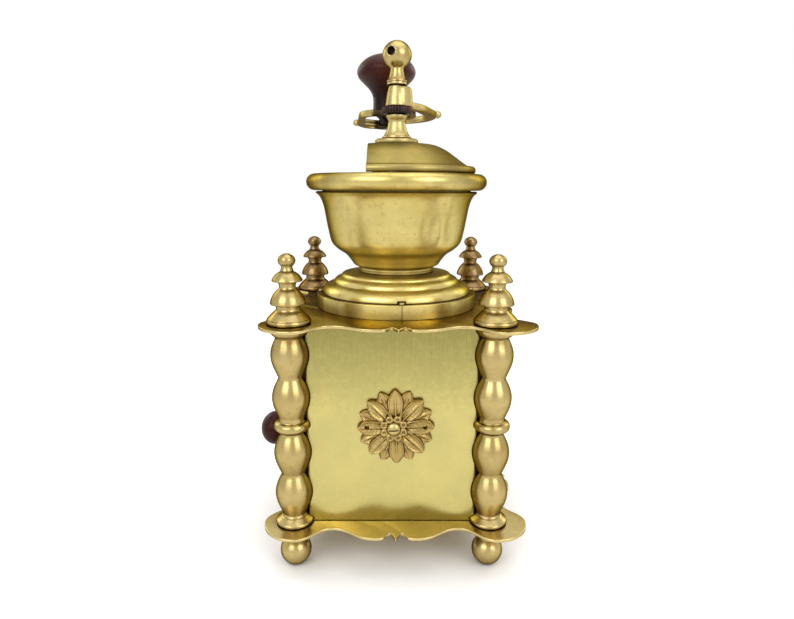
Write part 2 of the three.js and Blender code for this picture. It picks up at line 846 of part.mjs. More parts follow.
// The lid's rolled rim: a half-round bead with a ledge on top and a skirt inside the bowl
function lidRim() {

	const mid = rimFoot + RIM_HEIGHT / 2;
	const beadAt = RIM_RADIUS - RIM_BEAD;
	const returnEdge = beadAt - 2.7;
	const outer = [
		point( returnEdge, rimFoot + GAP ),
		...arc( beadAt, mid, RIM_BEAD, ( RIM_HEIGHT - GAP ) / 2, - 90, 90, 4 ),
		point( rimBore, rimTop ),
	];
	const skirt = [
		point( rimBore, rimFoot - RIM_SKIRT ),
		point( rimBore + RIM_WALL, rimFoot - RIM_SKIRT ),
		point( rimBore + RIM_WALL, rimTop - RIM_WALL ),
	];
	const inner = [
		...arc( beadAt, mid, RIM_BEAD - RIM_WALL, ( RIM_HEIGHT - GAP ) / 2 - RIM_WALL, 90, - 90, 2 ),
		point( returnEdge, rimFoot + GAP + RIM_WALL ),
	];
	return turnedRing( [ ...outer, ...skirt, ...inner ], SIDES_WIDE );

}

// The outer line of the dome, from the rolled flange up to the hole on top
function domePath() {

	const flange = RIM_RADIUS - DOME_INSET;
	return [
		...arc( flange - 1.8, domeFoot + 1.75, 1.8, 1.75, - 75, 75, 2 ),
		point( flange - 6.1, domeFoot + 5.2 ),
		...above( domeTop, [ [ 31.3, - 6.5 ], [ 25.6, - 2.8 ], [ 17.5, 0 ], [ STUB_RADIUS + GAP, 0 ] ] ),
	];

}

// Everything beyond an upright plane at a negative X
function beyond( x ) {

	return block( - 2 * RIM_RADIUS, - x, - 2 * RIM_RADIUS, 2 * RIM_RADIUS, rimFoot - 9, domeTop + 9 );

}

function lidDome() {

	return turnedRing( sheetAlong( domePath(), - DOME_WALL ), SIDES_WIDE ).subtract( beyond( DOME_CUT ) );

}

// The half dome that turns under the lid to close it, with a lip to push along its straight edge
function lidShutter() {

	const skirt = offset( domePath().slice( 2 ), - DOME_WALL - SHUTTER_GAP ).slice( 0, - 1 );
	const top = domeTop - DOME_WALL - SHUTTER_GAP;
	const shoulder = skirt[ 0 ].clone().lerp( skirt[ 1 ], 0.45 );
	const path = [ point( shoulder.x, domeFoot + GAP ), shoulder, ...skirt.slice( 1 ) ];
	const hole = STUB_RADIUS + RUNNING;
	path.push( point( hole, top ) );
	const shell = turnedRing( sheetAlong( path, - SHUTTER_WALL ), SIDES_WIDE );
	const filled = turned( [ point( 0, domeFoot + GAP ), ...path.slice( 0, - 1 ), point( 0, top ) ],
		SIDES_WIDE );
	const lip = block( - SHUTTER_CUT, - SHUTTER_CUT + SHUTTER_WALL, - RIM_RADIUS, RIM_RADIUS,
		top - SHUTTER_LIP, domeTop );
	return shell.add( filled.intersect( lip ) ).subtract( beyond( SHUTTER_CUT ) );

}

// The washer ring between the dome and the bearing
function bearingCollar() {

	const high = collarFoot + COLLAR_HEIGHT;
	const bore = STUB_RADIUS + GAP;
	return turnedRing( [
		point( bore, collarFoot ),
		point( COLLAR_RADIUS, collarFoot ),
		point( COLLAR_RADIUS, high - 1 ),
		point( COLLAR_RADIUS - 1.2, high ),
		point( bore, high ),
	], SIDES_WIDE );

}

// The spool-shaped upper bearing, with a stub through the dome
function bearingSleeve() {

	const stubEnd = domeTop - DOME_WALL - SLEEVE_NUT_HEIGHT - STUB_BELOW_NUT;
	const bore = SPINDLE_RADIUS + GAP;
	return turnedRing( [
		point( bore, stubEnd ),
		point( STUB_RADIUS, stubEnd ),
		point( STUB_RADIUS, sleeveFoot ),
		...above( sleeveFoot, [ [ SLEEVE_RADIUS, 0 ], [ SLEEVE_RADIUS, 0.9 ], [ 6.1, 3.6 ], [ 4.7, 6 ],
			[ 3.9, 8 ], [ 3.9, 9.1 ], [ 5.2, 9.9 ], [ 5.5, 10.9 ], [ 5.1, 11.8 ], [ 4.4, SLEEVE_HEIGHT ] ] ),
		point( bore, sleeveFoot + SLEEVE_HEIGHT ),
	], SIDES_TURNED );

}

// A ring of radii between the roots and the crests of saw teeth, at one height
function toothRing( z, crest, depth, teeth, twist ) {

	const steps = [ 0, 0.55, 1 ];
	const count = teeth * steps.length;
	return Array.from( { length: count }, ( _, j ) => {

		const a = 2 * Math.PI * j / count + twist;
		const r = crest - depth * ( 1 - steps[ j % steps.length ] );
		return new THREE.Vector3( r * Math.cos( a ), r * Math.sin( a ), z );

	} );

}

// The turning burr: a cone with helical saw teeth, coarse at its head and fine at its foot
function innerBurr() {

	const rows = 5;
	const rings = Array.from( { length: rows + 1 }, ( _, i ) => {

		const t = i / rows;
		const crest = THREE.MathUtils.lerp( BURR_FOOT_RADIUS, BURR_HEAD_RADIUS, t );
		const depth = THREE.MathUtils.lerp( BURR_TOOTH_FINE, BURR_TOOTH_COARSE, t );
		return toothRing( burrFoot + t * BURR_HEIGHT, crest, depth, BURR_TEETH, t * BURR_TWIST );

	} );
	const bore = rod( SHAFT_RADIUS + GAP, burrFoot - 1, burrHead + 1, SIDES_TURNED );
	return ringLoft( rings ).subtract( bore );

}

// The hollow that the fixed burr leaves round the turning one, with teeth of the other hand
function grindingSpace() {

	const rows = 4;
	const rings = Array.from( { length: rows + 1 }, ( _, i ) => {

		const t = i / rows;
		const root = THREE.MathUtils.lerp( BURR_FOOT_RADIUS, BURR_HEAD_RADIUS, t )
			+ THREE.MathUtils.lerp( GRIND_GAP_FINE, GRIND_GAP_COARSE, t ) + RING_TOOTH;
		return toothRing( burrFoot - 1 + t * ( BURR_HEIGHT + 2 ), root, RING_TOOTH, RING_TEETH,
			- t * BURR_TWIST / 2 );

	} );
	return ringLoft( rings );

}

// The fixed burr, its flange on the top plate and the throat that rises into the bowl's neck
function burrHousing() {

	const outer = THROAT_RADIUS + THROAT_WALL;
	const flangeLow = topDeck + GAP;
	const flangeHigh = flangeLow + BURR_FLANGE;
	const throatTop = topDeck + THROAT_RISE;
	let body = turned( [
		point( 0, burrFoot ),
		point( outer, burrFoot ),
		point( outer, flangeLow ),
		point( BURR_FLANGE_RADIUS, flangeLow ),
		point( BURR_FLANGE_RADIUS, flangeHigh ),
		point( outer, flangeHigh ),
		point( outer, throatTop ),
		point( 0, throatTop ),
	], SIDES_WIDE );
	body = body.subtract( grindingSpace() );
	body = body.subtract( rod( THROAT_RADIUS, burrHead, throatTop + 1, SIDES_WIDE ) );
	for ( const [ x, y ] of quarterPoints( BURR_SCREW_CIRCLE, 0 ) ) {

		body = body.subtract( rod( BURR_SCREW_RADIUS + GAP, topDeck, topDeck + 9, SIDES_SMALL, x, y ) );

	}

	return body;

}

// The strap under the top plate that carries the shaft's lower end in a bearing boss
function lowerBridge() {

	const top = topUnderside - GAP;
	const reach = BURR_SCREW_CIRCLE + BRIDGE_LUG;
	const leg = BRIDGE_LEG_AT;
	const bar = [
		point( - reach, top ),
		point( - leg, top ),
		point( - leg, bridgeFoot + BRIDGE_STRAP ),
		point( leg, bridgeFoot + BRIDGE_STRAP ),
		point( leg, top ),
		point( reach, top ),
		point( reach, top - BRIDGE_STRAP ),
		point( leg + BRIDGE_STRAP, top - BRIDGE_STRAP ),
		point( leg + BRIDGE_STRAP, bridgeFoot ),
		point( - leg - BRIDGE_STRAP, bridgeFoot ),
		point( - leg - BRIDGE_STRAP, top - BRIDGE_STRAP ),
		point( - reach, top - BRIDGE_STRAP ),
	];
	let body = prismAcross( bar, BRIDGE_WIDTH );
	body = body.add( rod( BRIDGE_BOSS, bridgeFoot, bridgeFoot + BRIDGE_BOSS_HEIGHT, SIDES_TURNED ) );
	body = body.subtract( rod( SHAFT_RADIUS + RUNNING, bridgeFoot - 1, bridgeFoot + BRIDGE_BOSS_HEIGHT + 1,
		SIDES_TURNED ) );
	for ( const side of [ - 1, 1 ] ) {

		body = body.subtract( rod( BURR_SCREW_RADIUS + GAP, top - BRIDGE_STRAP - 1, top + 1, SIDES_SMALL,
			side * BURR_SCREW_CIRCLE, 0 ) );

	}

	return body;

}

// The drive shaft: thick through the burr, thin through the bearing, square in the crank's hub
function driveShaft() {

	const squareFoot = hubFoot - SQUARE_BELOW_HUB;
	const squareTop = washerFoot - SQUARE_SHORT_OF_WASHER;
	const round = turned( [
		point( 0, shaftFoot ),
		point( SHAFT_RADIUS - 0.6, shaftFoot ),
		point( SHAFT_RADIUS, shaftFoot + 0.8 ),
		point( SHAFT_RADIUS, spindleStep ),
		point( SPINDLE_RADIUS, spindleStep + 1.5 ),
		point( SPINDLE_RADIUS, squareFoot ),
		point( THREAD_RADIUS, squareFoot ),
		point( THREAD_RADIUS, ballNutFoot + THREAD_REACH ),
		point( 0, ballNutFoot + THREAD_REACH ),
	], SIDES_TURNED );
	const half = SQUARE_SIDE / 2;
	return round.add( block( - half, half, - half, half, squareFoot, squareTop ) );

}

// The knurled nut under the crank's hub that sets how fine the mill grinds
function adjustingNut() {

	const outline = Array.from( { length: ADJUSTER_NOTCHES * 2 }, ( _, i ) => {

		const a = Math.PI * i / ADJUSTER_NOTCHES;
		const r = i % 2 ? ADJUSTER_RADIUS - 0.5 : ADJUSTER_RADIUS;
		return point( r * Math.cos( a ), r * Math.sin( a ) );

	} );
	const body = prism( outline, adjusterFoot, adjusterFoot + ADJUSTER_HEIGHT );
	return body.subtract( rod( SPINDLE_RADIUS + GAP, adjusterFoot - 1, hubFoot, SIDES_SMALL ) );

}

// A flat bar of one thickness along a smooth line in plan, with a width at each of its points
function flatBar( stops, stretch, low, high, samples ) {

	const line = new THREE.SplineCurve( stops.map( ( [ x, y ] ) => point( x, y * stretch ) ) );
	const widths = new THREE.SplineCurve( stops.map( ( [ , , width ], i ) => point( i, width ) ) );
	const left = [];
	const right = [];
	for ( let i = 0; i <= samples; i ++ ) {

		const t = i / samples;
		const p = line.getPoint( t );
		const along = line.getTangent( t );
		const half = widths.getPoint( t ).y / 2;
		left.push( point( p.x - along.y * half, p.y + along.x * half ) );
		right.push( point( p.x + along.y * half, p.y - along.x * half ) );

	}

	return prism( [ ...right, ...left.reverse() ], low, high );

}

// The openwork between hub and boss, as [ x, y, width ] stops along each bar of the pattern,
// which stretches with the arm
const ARM_BARS = {
	spine: [ [ 0, 0, 9 ], [ - 2, 18, 6 ], [ 1, 36, 5 ], [ 4, 54, 5 ], [ 2, 72, 5 ], [ - 3, 90, 5 ],
		[ 0, ARM_PATTERN_LENGTH, 9 ] ],
	rightLoop: [ [ 2, 3, 8 ], [ 7.7, 10.5, 6 ], [ 14, 18.4, 5.5 ], [ 19.6, 32, 5.5 ], [ 25, 48, 5.5 ],
		[ 24.2, 65, 5 ], [ 18.5, 77, 5 ], [ 10.5, 83.5, 5 ], [ 3, 91, 5.5 ], [ - 2, 98, 6 ] ],
	rightRib: [ [ 3, 8, 4 ], [ 9, 26, 3 ], [ 13, 42, 2.8 ], [ 12, 57, 2.8 ], [ 3, 75, 3 ] ],
	leftLoop: [ [ 1, 36, 5 ], [ - 5, 42, 4.5 ], [ - 11.5, 43.5, 4.5 ], [ - 16.5, 51, 4.5 ],
		[ - 17.5, 66, 4.5 ], [ - 17.5, 84, 5 ], [ - 17.5, 100, 5.5 ], [ - 13.5, 114, 5.5 ],
		[ - 6, 119.5, 5.5 ], [ - 0.5, 112, 6 ] ],
	leftRib: [ [ - 8, 44, 4 ], [ - 5.5, 60, 3.5 ], [ - 4, 75, 3.5 ], [ - 3, 90, 3.5 ], [ 0, 102, 4 ] ],
	leftBridge: [ [ - 17, 92, 6 ], [ - 9, 98, 6 ], [ 0, ARM_PATTERN_LENGTH, 7 ] ],
};
const ARM_BUDS = [ [ 28.2, 47, 2.4 ], [ - 21, 98, 2.4 ] ];

// The cast crank arm: an S of two pierced leaves between the hub and the handle's boss
function crankArm() {

	let body = turned( [
		point( 0, hubFoot ),
		point( HUB_FOOT, hubFoot ),
		point( HUB_FOOT - 0.3, hubFoot + 5 ),
		point( HUB_HEAD + 0.3, hubFoot + HUB_HEIGHT - 1.8 ),
		point( HUB_HEAD - 0.4, hubFoot + HUB_HEIGHT ),
		point( 0, hubFoot + HUB_HEIGHT ),
	], SIDES_TURNED );
	const stretch = ARM_LENGTH / ARM_PATTERN_LENGTH;
	for ( const stops of Object.values( ARM_BARS ) ) {

		body = body.add( flatBar( stops, stretch, hubFoot, armTop, stops.length + 1 ) );

	}

	for ( const [ x, y, r ] of ARM_BUDS ) {

		body = body.add( rod( r, hubFoot - 0.4, armTop + 0.4, SIDES_SMALL, x, y * stretch ) );

	}

	const shoulder = turned( [
		point( 0, hubFoot ),
		...above( hubFoot, [ [ 5.7, 0 ], [ 5.4, 4.5 ], [ 5, 8.2 ], [ 4, 9.6 ], [ 0, 9.6 ] ] ),
	], SIDES_TURNED );
	body = body.add( shoulder.translate( [ ...HUB_SHOULDER_AT, 0 ] ) );
	body = body.add( rod( BOSS_RADIUS, hubFoot - BOSS_DROP, armTop, SIDES_TURNED, 0, ARM_LENGTH ) );
	body = body.subtract( rod( PIN_RADIUS + GAP, hubFoot - BOSS_DROP - 1, armTop + 1, SIDES_TURNED,
		0, ARM_LENGTH ) );
	const half = SQUARE_SIDE / 2 + GAP;
	return body.subtract( block( - half, half, - half, half, hubFoot - 1, washerFoot ) );

}

function crankWasher() {

	const bore = THREAD_RADIUS + GAP;
	return rod( HUB_HEAD + 0.4, washerFoot, washerFoot + WASHER_HEIGHT, SIDES_TURNED )
		.subtract( rod( bore, washerFoot - 1, ballNutFoot, SIDES_SMALL ) );

}

// The ball-headed nut that locks the crank, cross-drilled for a tommy bar
function ballNut() {

	const centre = ballNutFoot + BALL_NUT_HEIGHT - BALL_RADIUS;
	const bore = THREAD_RADIUS + GAP;
	const body = turned( [
		point( 0, ballNutFoot + BALL_NUT_BORE_DEPTH ),
		point( bore, ballNutFoot + BALL_NUT_BORE_DEPTH ),
		point( bore, ballNutFoot ),
		...above( ballNutFoot, [ [ 6.1, 0 ], [ 6.1, 0.6 ], [ 5.2, 1.2 ], [ 4.3, 2.1 ], [ 3.8, 3.6 ] ] ),
		...above( centre, [ [ 3.6, - 5.6 ], [ 4.9, - 4.9 ], [ 6.5, - 3.5 ], [ 7.6, - 1.8 ] ] ),
		...arc( 0, centre, BALL_RADIUS, BALL_RADIUS, 0, 90, 4 ),
	], SIDES_TURNED );
	const hole = rodAlongY( BALL_HOLE, - 9, 9, SIDES_SMALL, 0, centre + 1.5 );
	return body.subtract( hole.rotate( [ 0, 0, - THREE.MathUtils.radToDeg( BALL_HOLE_TURN ) ] ) );

}

// The pin that the handle spins on, screwed into the arm's boss, with a shoulder under the
// handle and a head in its top
function handlePin() {

	const foot = hubFoot - BOSS_DROP;
	const top = handleFoot + HANDLE_HEIGHT;
	return turned( [
		point( 0, foot ),
		point( PIN_RADIUS, foot ),
		point( PIN_RADIUS, armTop + GAP ),
		point( FERRULE_RADIUS, armTop + GAP ),
		point( FERRULE_RADIUS, ferruleTop ),
		point( PIN_RADIUS, ferruleTop ),
		point( PIN_RADIUS, top - PIN_RECESS ),
		point( PIN_HEAD, top - PIN_RECESS ),
		point( PIN_HEAD, top - 1.4 ),
		point( 0, top - 0.6 ),
	], SIDES_TURNED );

}

// The mushroom-shaped wooden handle, bored for its pin
function crankHandle() {

	const bore = PIN_RADIUS + RUNNING;
	const seat = PIN_HEAD + RUNNING;
	const top = handleFoot + HANDLE_HEIGHT;
	return turnedRing( [
		point( bore, handleFoot ),
		...above( handleFoot, [ [ HANDLE_FOOT - 0.5, 0 ], [ HANDLE_FOOT, 1 ], [ 9.2, 9 ],
			[ 9.7, 12.2 ], [ 10.8, 14.8 ], [ 14.3, 18.5 ], [ 19.2, 23.6 ], [ HANDLE_RADIUS, 26.6 ],
			[ 19.6, 29.8 ], [ 18, 32.2 ], [ 14.6, 35.6 ], [ 9.5, 37.9 ], [ seat + 0.6, HANDLE_HEIGHT ] ] ),
		point( seat, top ),
		point( seat, top - PIN_RECESS - GAP ),
		point( bore, top - PIN_RECESS - GAP ),
	], SIDES_TURNED );

}

// The drawer's front is a pan like the panels, a little narrower so that it passes the posts
function drawerFront() {

	const drill = rodAlongY( M4_RADIUS + GAP, - postAt - 5, - postAt + 5, SIDES_SMALL, 0, knobZ );
	return pan( panelHalf - DRAWER_GAP, drawerFoot, drawerFoot + DRAWER_FRONT_HEIGHT )
		.subtract( drill );

}

// The open tray behind it, built like the front to face -Y
function drawerTray() {

	const front = - postAt + SHEET + GAP;
	const half = trayHalf;
	const low = bottomDeck + GAP;
	const outer = block( - half, half, front, trayBack, low, low + TRAY_HEIGHT );
	const inner = block( - half + SHEET, half - SHEET, front + SHEET, trayBack - SHEET,
		low + SHEET, low + TRAY_HEIGHT + 1 );
	const drill = rodAlongY( M4_RADIUS + GAP, front - 1, front + 2, SIDES_SMALL, 0, knobZ );
	return outer.subtract( inner ).subtract( drill );

}

// The turned wooden knob, standing on the XY plane, bored for its screw
function drawerKnob() {

	const bore = M4_RADIUS + GAP;
	const half = KNOB_RADIUS * KNOB_SQUASH;
	return turned( [
		point( 0, KNOB_BORE_DEPTH ),
		point( bore, KNOB_BORE_DEPTH ),
		point( bore, 0 ),
		point( 7, 0 ),
		point( 6.6, 1.6 ),
		point( 4.8, 4.5 ),
		point( 4.8, 8.5 ),
		...arc( 0, KNOB_LENGTH - half, KNOB_RADIUS, half, - 50, 90, 6 ),
	], SIDES_TURNED );

}

// The screw that holds the knob, its head inside the tray
function knobScrew() {

	return domedScrew( M4_HEAD, M4_HEAD_HEIGHT, M4_RADIUS, KNOB_SCREW_LENGTH, SIDES_SMALL );

}

// An angle strip that guides one side of the tray
function drawerRunner( side ) {

	const near = trayHalf + DRAWER_GAP;
	const halfLength = panelHalf - SHEET - RUNNER_END_CLEARANCE;
	const low = bottomDeck + GAP;
	const outline = [
		point( near, low ),
		point( near + RUNNER_FOOT, low ),
		point( near + RUNNER_FOOT, low + SHEET ),
		point( near + SHEET, low + SHEET ),
		point( near + SHEET, low + RUNNER_HEIGHT ),
		point( near, low + RUNNER_HEIGHT ),
	];
	return prismAcross( outline.map( ( p ) => point( side * p.x, p.y ) ), 2 * halfLength );

}

// Assembly
const grinder = new THREE.Group();
const casing = new THREE.Group();
casing.position.x = CASE_SHIFT;
grinder.add( casing );

for ( const [ x, y, corner ] of atCorners ) {

	const column = new THREE.Group();
	column.position.set( x * postAt, y * postAt, 0 );
	column.add( piece( 'foot_' + corner, foot(), castBrass() ) );
	column.add( piece( 'post_' + corner, post(), castBrass() ) );
	column.add( piece( 'finial_' + corner, finial(), castBrass() ) );
	column.add( piece( 'tie_rod_' + corner, tieRod(), brightSteel() ) );
	casing.add( column );

}

grinder.add( piece( 'bottom_plate', bottomPlate(), sheetBrass() ) );
grinder.add( piece( 'top_plate', topPlate(), sheetBrass() ) );

casing.add( piece( 'front_panel', frontPanel(), sheetBrass() ) );
const rearPanel = piece( 'rear_panel', pan( panelHalf, panelBottom, panelTop ), sheetBrass() );
rearPanel.rotation.z = Math.PI;
casing.add( rearPanel );
const rightPanel = piece( 'right_panel', pan( panelHalf, panelBottom, panelTop ), sheetBrass() );
rightPanel.rotation.z = Math.PI / 2;
casing.add( rightPanel );

const leftSide = new THREE.Group();
leftSide.rotation.z = - Math.PI / 2;
const overDrawer = drawerFoot + DRAWER_FRONT_HEIGHT + DRAWER_GAP + GAP;
leftSide.add( piece( 'left_panel', pan( panelHalf, overDrawer, panelTop ), sheetBrass() ) );
leftSide.add( piece( 'drawer_front', drawerFront(), sheetBrass() ) );
leftSide.add( piece( 'drawer_tray', drawerTray(), sheetBrass() ) );
leftSide.add( piece( 'drawer_knob', onFront( drawerKnob(), postAt + GAP, knobZ ), wood() ) );
const screwSeat = - postAt + 2 * SHEET + 2 * GAP;
const knobScrewBody = knobScrew().rotate( [ - 90, 0, 0 ] ).translate( [ 0, screwSeat, knobZ ] );
leftSide.add( piece( 'knob_screw', knobScrewBody, brightSteel() ) );
leftSide.add( piece( 'drawer_runner_front', drawerRunner( - 1 ), sheetBrass() ) );
leftSide.add( piece( 'drawer_runner_rear', drawerRunner( 1 ), sheetBrass() ) );
casing.add( leftSide );

grinder.add( piece( 'rosette', onFront( rosette(), postAt + GAP, rosetteZ ), castBrass() ) );
const rosetteScrew = domedScrew( M4_HEAD, M4_HEAD_HEIGHT, M4_RADIUS, ROSETTE_SCREW_LENGTH, SIDES_SMALL );
const rosetteSeat = postAt + ROSETTE_BOSS + 2 * GAP;
grinder.add( piece( 'rosette_screw', onFront( rosetteScrew, rosetteSeat, rosetteZ ), castBrass() ) );
const rosetteNut = hexNut( M4_NUT, M4_RADIUS + GAP, 0, M4_NUT_HEIGHT );
const nutAt = postAt - SHEET - GAP - M4_NUT_HEIGHT;
grinder.add( piece( 'rosette_nut', onFront( rosetteNut, nutAt, rosetteZ ), brightSteel() ) );

grinder.add( piece( 'hopper_band', hopperBand(), sheetBrass() ) );
grinder.add( piece( 'hopper_base', hopperBase(), sheetBrass() ) );
grinder.add( piece( 'hopper_bowl', hopperBowl(), sheetBrass() ) );
quarterPoints( bandScrewAt, HOPPER_TURN ).forEach( ( [ x, y ], i ) => {

	const screw = domedScrew( BAND_SCREW_HEAD, BAND_SCREW_HEAD_HEIGHT, BAND_SCREW_SHANK,
		BAND_SCREW_LENGTH, SIDES_HEX );
	grinder.add( piece( 'band_screw_' + ( i + 1 ), screw.translate( [ x, y, baseFoot ] ), castBrass() ) );

} );
grinder.add( piece( 'lid_rim', lidRim(), sheetBrass() ) );
grinder.add( piece( 'lid_dome', lidDome(), sheetBrass() ) );
grinder.add( piece( 'lid_shutter', lidShutter(), sheetBrass() ) );
grinder.add( piece( 'bearing_collar', bearingCollar(), castBrass() ) );
grinder.add( piece( 'bearing_sleeve', bearingSleeve(), castBrass() ) );
const sleeveNutTop = domeTop - DOME_WALL - SHUTTER_GAP - SHUTTER_WALL - RUNNING;
const sleeveNut = hexNut( SLEEVE_NUT, STUB_RADIUS + GAP, sleeveNutTop - SLEEVE_NUT_HEIGHT, sleeveNutTop );
grinder.add( piece( 'sleeve_nut', sleeveNut, brightSteel() ) );

grinder.add( piece( 'burr_housing', burrHousing(), darkSteel() ) );
grinder.add( piece( 'lower_bridge', lowerBridge(), darkSteel() ) );
quarterPoints( BURR_SCREW_CIRCLE, 0 ).forEach( ( [ x, y ], i ) => {

	const screw = domedScrew( BURR_SCREW_HEAD, BURR_SCREW_HEAD_HEIGHT, BURR_SCREW_RADIUS,
		BURR_SCREW_LENGTH, SIDES_HEX );
	const seat = topDeck + 2 * GAP + BURR_FLANGE;
	grinder.add( piece( 'burr_screw_' + ( i + 1 ), screw.translate( [ x, y, seat ] ), brightSteel() ) );

} );

grinder.add( piece( 'drive_shaft', driveShaft(), brightSteel() ) );
grinder.add( piece( 'inner_burr', innerBurr(), darkSteel() ) );
const burrNutTop = burrFoot - GAP;
const burrNut = hexNut( BURR_NUT, SHAFT_RADIUS + GAP, burrNutTop - BURR_NUT_HEIGHT, burrNutTop );
grinder.add( piece( 'burr_nut', burrNut, brightSteel() ) );

const crank = new THREE.Group();
crank.rotation.z = ARM_TURN;
crank.add( piece( 'crank_arm', crankArm(), castBrass() ) );
const pin = piece( 'handle_pin', handlePin(), darkSteel() );
pin.position.y = ARM_LENGTH;
crank.add( pin );
grinder.add( crank );
grinder.add( piece( 'adjusting_nut', adjustingNut(), darkSteel() ) );
grinder.add( piece( 'crank_washer', crankWasher(), darkSteel() ) );
grinder.add( piece( 'ball_nut', ballNut(), castBrass() ) );
const handle = piece( 'crank_handle', crankHandle(), wood() );
handle.position.set( - ARM_LENGTH * Math.sin( ARM_TURN ), ARM_LENGTH * Math.cos( ARM_TURN ), 0 );
grinder.add( handle );

// Origin to the middle of the outer box: knob to top plate along X, plates to handle along Y
const plateReach = postAt + PLATE_LOBE;
const rightReach = plateReach + TOP_PLATE_SHIFT;
const knobReach = postAt + GAP + KNOB_LENGTH - CASE_SHIFT;
const handleReach = handle.position.y + HANDLE_RADIUS;
grinder.position.set( ( knobReach - rightReach ) / 2, ( plateReach - handleReach ) / 2, 0 );

export default grinder;
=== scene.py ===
# The looks of a brass column coffee grinder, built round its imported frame.
# Lengths are millimetres from the grinding axis and the floor until mesh_of() turns
# them into the frame's metres.

import json
import math

import bmesh
import bpy
import numpy as np
from mathutils import Matrix, Vector


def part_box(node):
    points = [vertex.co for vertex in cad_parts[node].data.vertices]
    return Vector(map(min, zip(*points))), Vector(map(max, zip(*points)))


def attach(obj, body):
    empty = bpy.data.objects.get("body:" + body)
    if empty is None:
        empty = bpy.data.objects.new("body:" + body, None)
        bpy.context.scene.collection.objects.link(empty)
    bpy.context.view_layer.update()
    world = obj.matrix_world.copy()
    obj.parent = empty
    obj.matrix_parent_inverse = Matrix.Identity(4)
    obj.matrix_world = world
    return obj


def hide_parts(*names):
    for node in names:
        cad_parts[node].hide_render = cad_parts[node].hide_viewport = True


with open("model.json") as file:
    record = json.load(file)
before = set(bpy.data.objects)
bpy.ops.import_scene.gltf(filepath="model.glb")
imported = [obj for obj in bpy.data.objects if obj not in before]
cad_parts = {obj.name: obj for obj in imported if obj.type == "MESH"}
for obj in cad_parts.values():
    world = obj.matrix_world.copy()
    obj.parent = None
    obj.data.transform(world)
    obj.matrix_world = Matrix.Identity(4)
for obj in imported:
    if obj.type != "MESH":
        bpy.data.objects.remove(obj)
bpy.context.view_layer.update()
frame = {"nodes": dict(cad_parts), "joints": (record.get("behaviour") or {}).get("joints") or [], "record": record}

record = frame["record"]
joints = {joint["name"]: joint for joint in frame["joints"]}
axis = np.array([*joints["crank_turn"]["pos_m"][:2], 0.0])
body_of = {n: b for b, nodes in record["behaviour"]["bodies"].items() for n in nodes}
slot_of = {part["node"]: part["material_slot"] for part in record["subparts"]}

# Sizes that the pieces share
SHEET = 1.0
GAP = 0.3

# How finely round pieces are divided
FINE_ROUND = 240
POST_ROUND = 96
SMALL_ROUND = 64

# Edges that bend more than this many degrees stay sharp
CREASE = 32.0
FLAT_CREASE = 5.0
CAST_CREASE = 60.0
NO_CREASE = 180.0

# Limits of the mesh work, the last one in metres
STRAIGHT = math.radians(152)
SAME_POINT = 1e-6
TINY = 1e-9
WELD = 1e-7

# The case
POST_AT = 50.0
CASE_SHIFT = -2.0
ROD_RADIUS = 2.0
ROD_BORE = 2.5
LOBE = 17.5
REACH = POST_AT + LOBE
BOTTOM_WAIST = 57.0
BOTTOM_BULGE = 66.0
TOP_WAIST = 55.0
TOP_BULGE = 62.5
TOP_PLATE_SHIFT = 1.0
TOP_PLATE_BORE = 19.0
PLATE_EDGE = 0.35
WAIST_AT = 32.0
BULGE_AT = 11.5
NOTCH_AT = 6.0
NOTCH_INNER = 2.75
NOTCH_DEPTH = 4.5
PANEL_HALF = 40.1
PANEL_BEND = 0.5
PANEL_FLANGE = 8.0
SCRIBED_HALF = 43.0
SCRIBED_BEND = 1.6
SCRIBE_GAP = 0.3

# The rosette
PETALS = 8
ROSETTE_TURN = math.radians(1.6)
ROSETTE_VOXEL = 0.19
FLORETS_AT = 5.2
SCREW_OFF = (-1.1, -0.6)
SCREW_DOME = 2.2

# The hopper and its lid
HOPPER_TURN = math.radians(3.6)
BAND_SCREW_AT = 41.7
RIM_RADIUS = 48.6
RIM_BEAD = 4.3
DOME_CUT = -14.8
SHUTTER_CUT = -9.0

# The burrs and the shaft
BURR_SCREW_AT = 26
SHAFT_BORE = 4.3
SHAFT_SQUARE = 1.75

# The crank
ARM_LENGTH = 105.0
ARM_TURN = math.radians(3.7)
ARM_THICKNESS = 3.7
ARM_VOXEL = 0.34
HANDLE_AT = (-ARM_LENGTH * math.sin(ARM_TURN), ARM_LENGTH * math.cos(ARM_TURN))

POSTS = {f"{end}_{side}": (x * POST_AT + CASE_SHIFT, y * POST_AT)
         for end, y in (("front", -1), ("rear", 1)) for side, x in (("left", -1), ("right", 1))}


def low(node):
    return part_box(node)[0].z * 1000


def high(node):
    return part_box(node)[1].z * 1000


def levels(node):
    return low(node), high(node)


def front_of(node):
    """How far the node reaches forward of the grinding axis"""
    return (axis[1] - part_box(node)[0].y) * 1000


# Outlines

def arc(cx, cy, rx, ry, begin, end, steps):
    a = np.radians(np.linspace(begin, end, steps + 1))
    return [(cx + rx * math.cos(t), cy + ry * math.sin(t)) for t in a]


def through(points, steps=8):
    """A smooth line through the points"""
    p = [np.array(q, float) for q in points]
    p = [2 * p[0] - p[1], *p, 2 * p[-1] - p[-2]]
    line = []
    for i in range(1, len(p) - 2):
        for k in range(steps):
            t = k / steps
            line.append(tuple(0.5 * (2 * p[i] + (p[i + 1] - p[i - 1]) * t
                                     + (2 * p[i - 1] - 5 * p[i] + 4 * p[i + 1] - p[i + 2]) * t * t
                                     + (3 * p[i] - p[i - 1] - 3 * p[i + 1] + p[i + 2]) * t ** 3)))
    return [*line, tuple(p[-2])]


def bezier(a, b, c, d, steps):
    t = np.linspace(0, 1, steps + 1)[:, None]
    s = 1 - t
    a, b, c, d = (np.array(q, float) for q in (a, b, c, d))
    return [tuple(q) for q in s ** 3 * a + 3 * t * s ** 2 * b + 3 * t * t * s * c + t ** 3 * d]


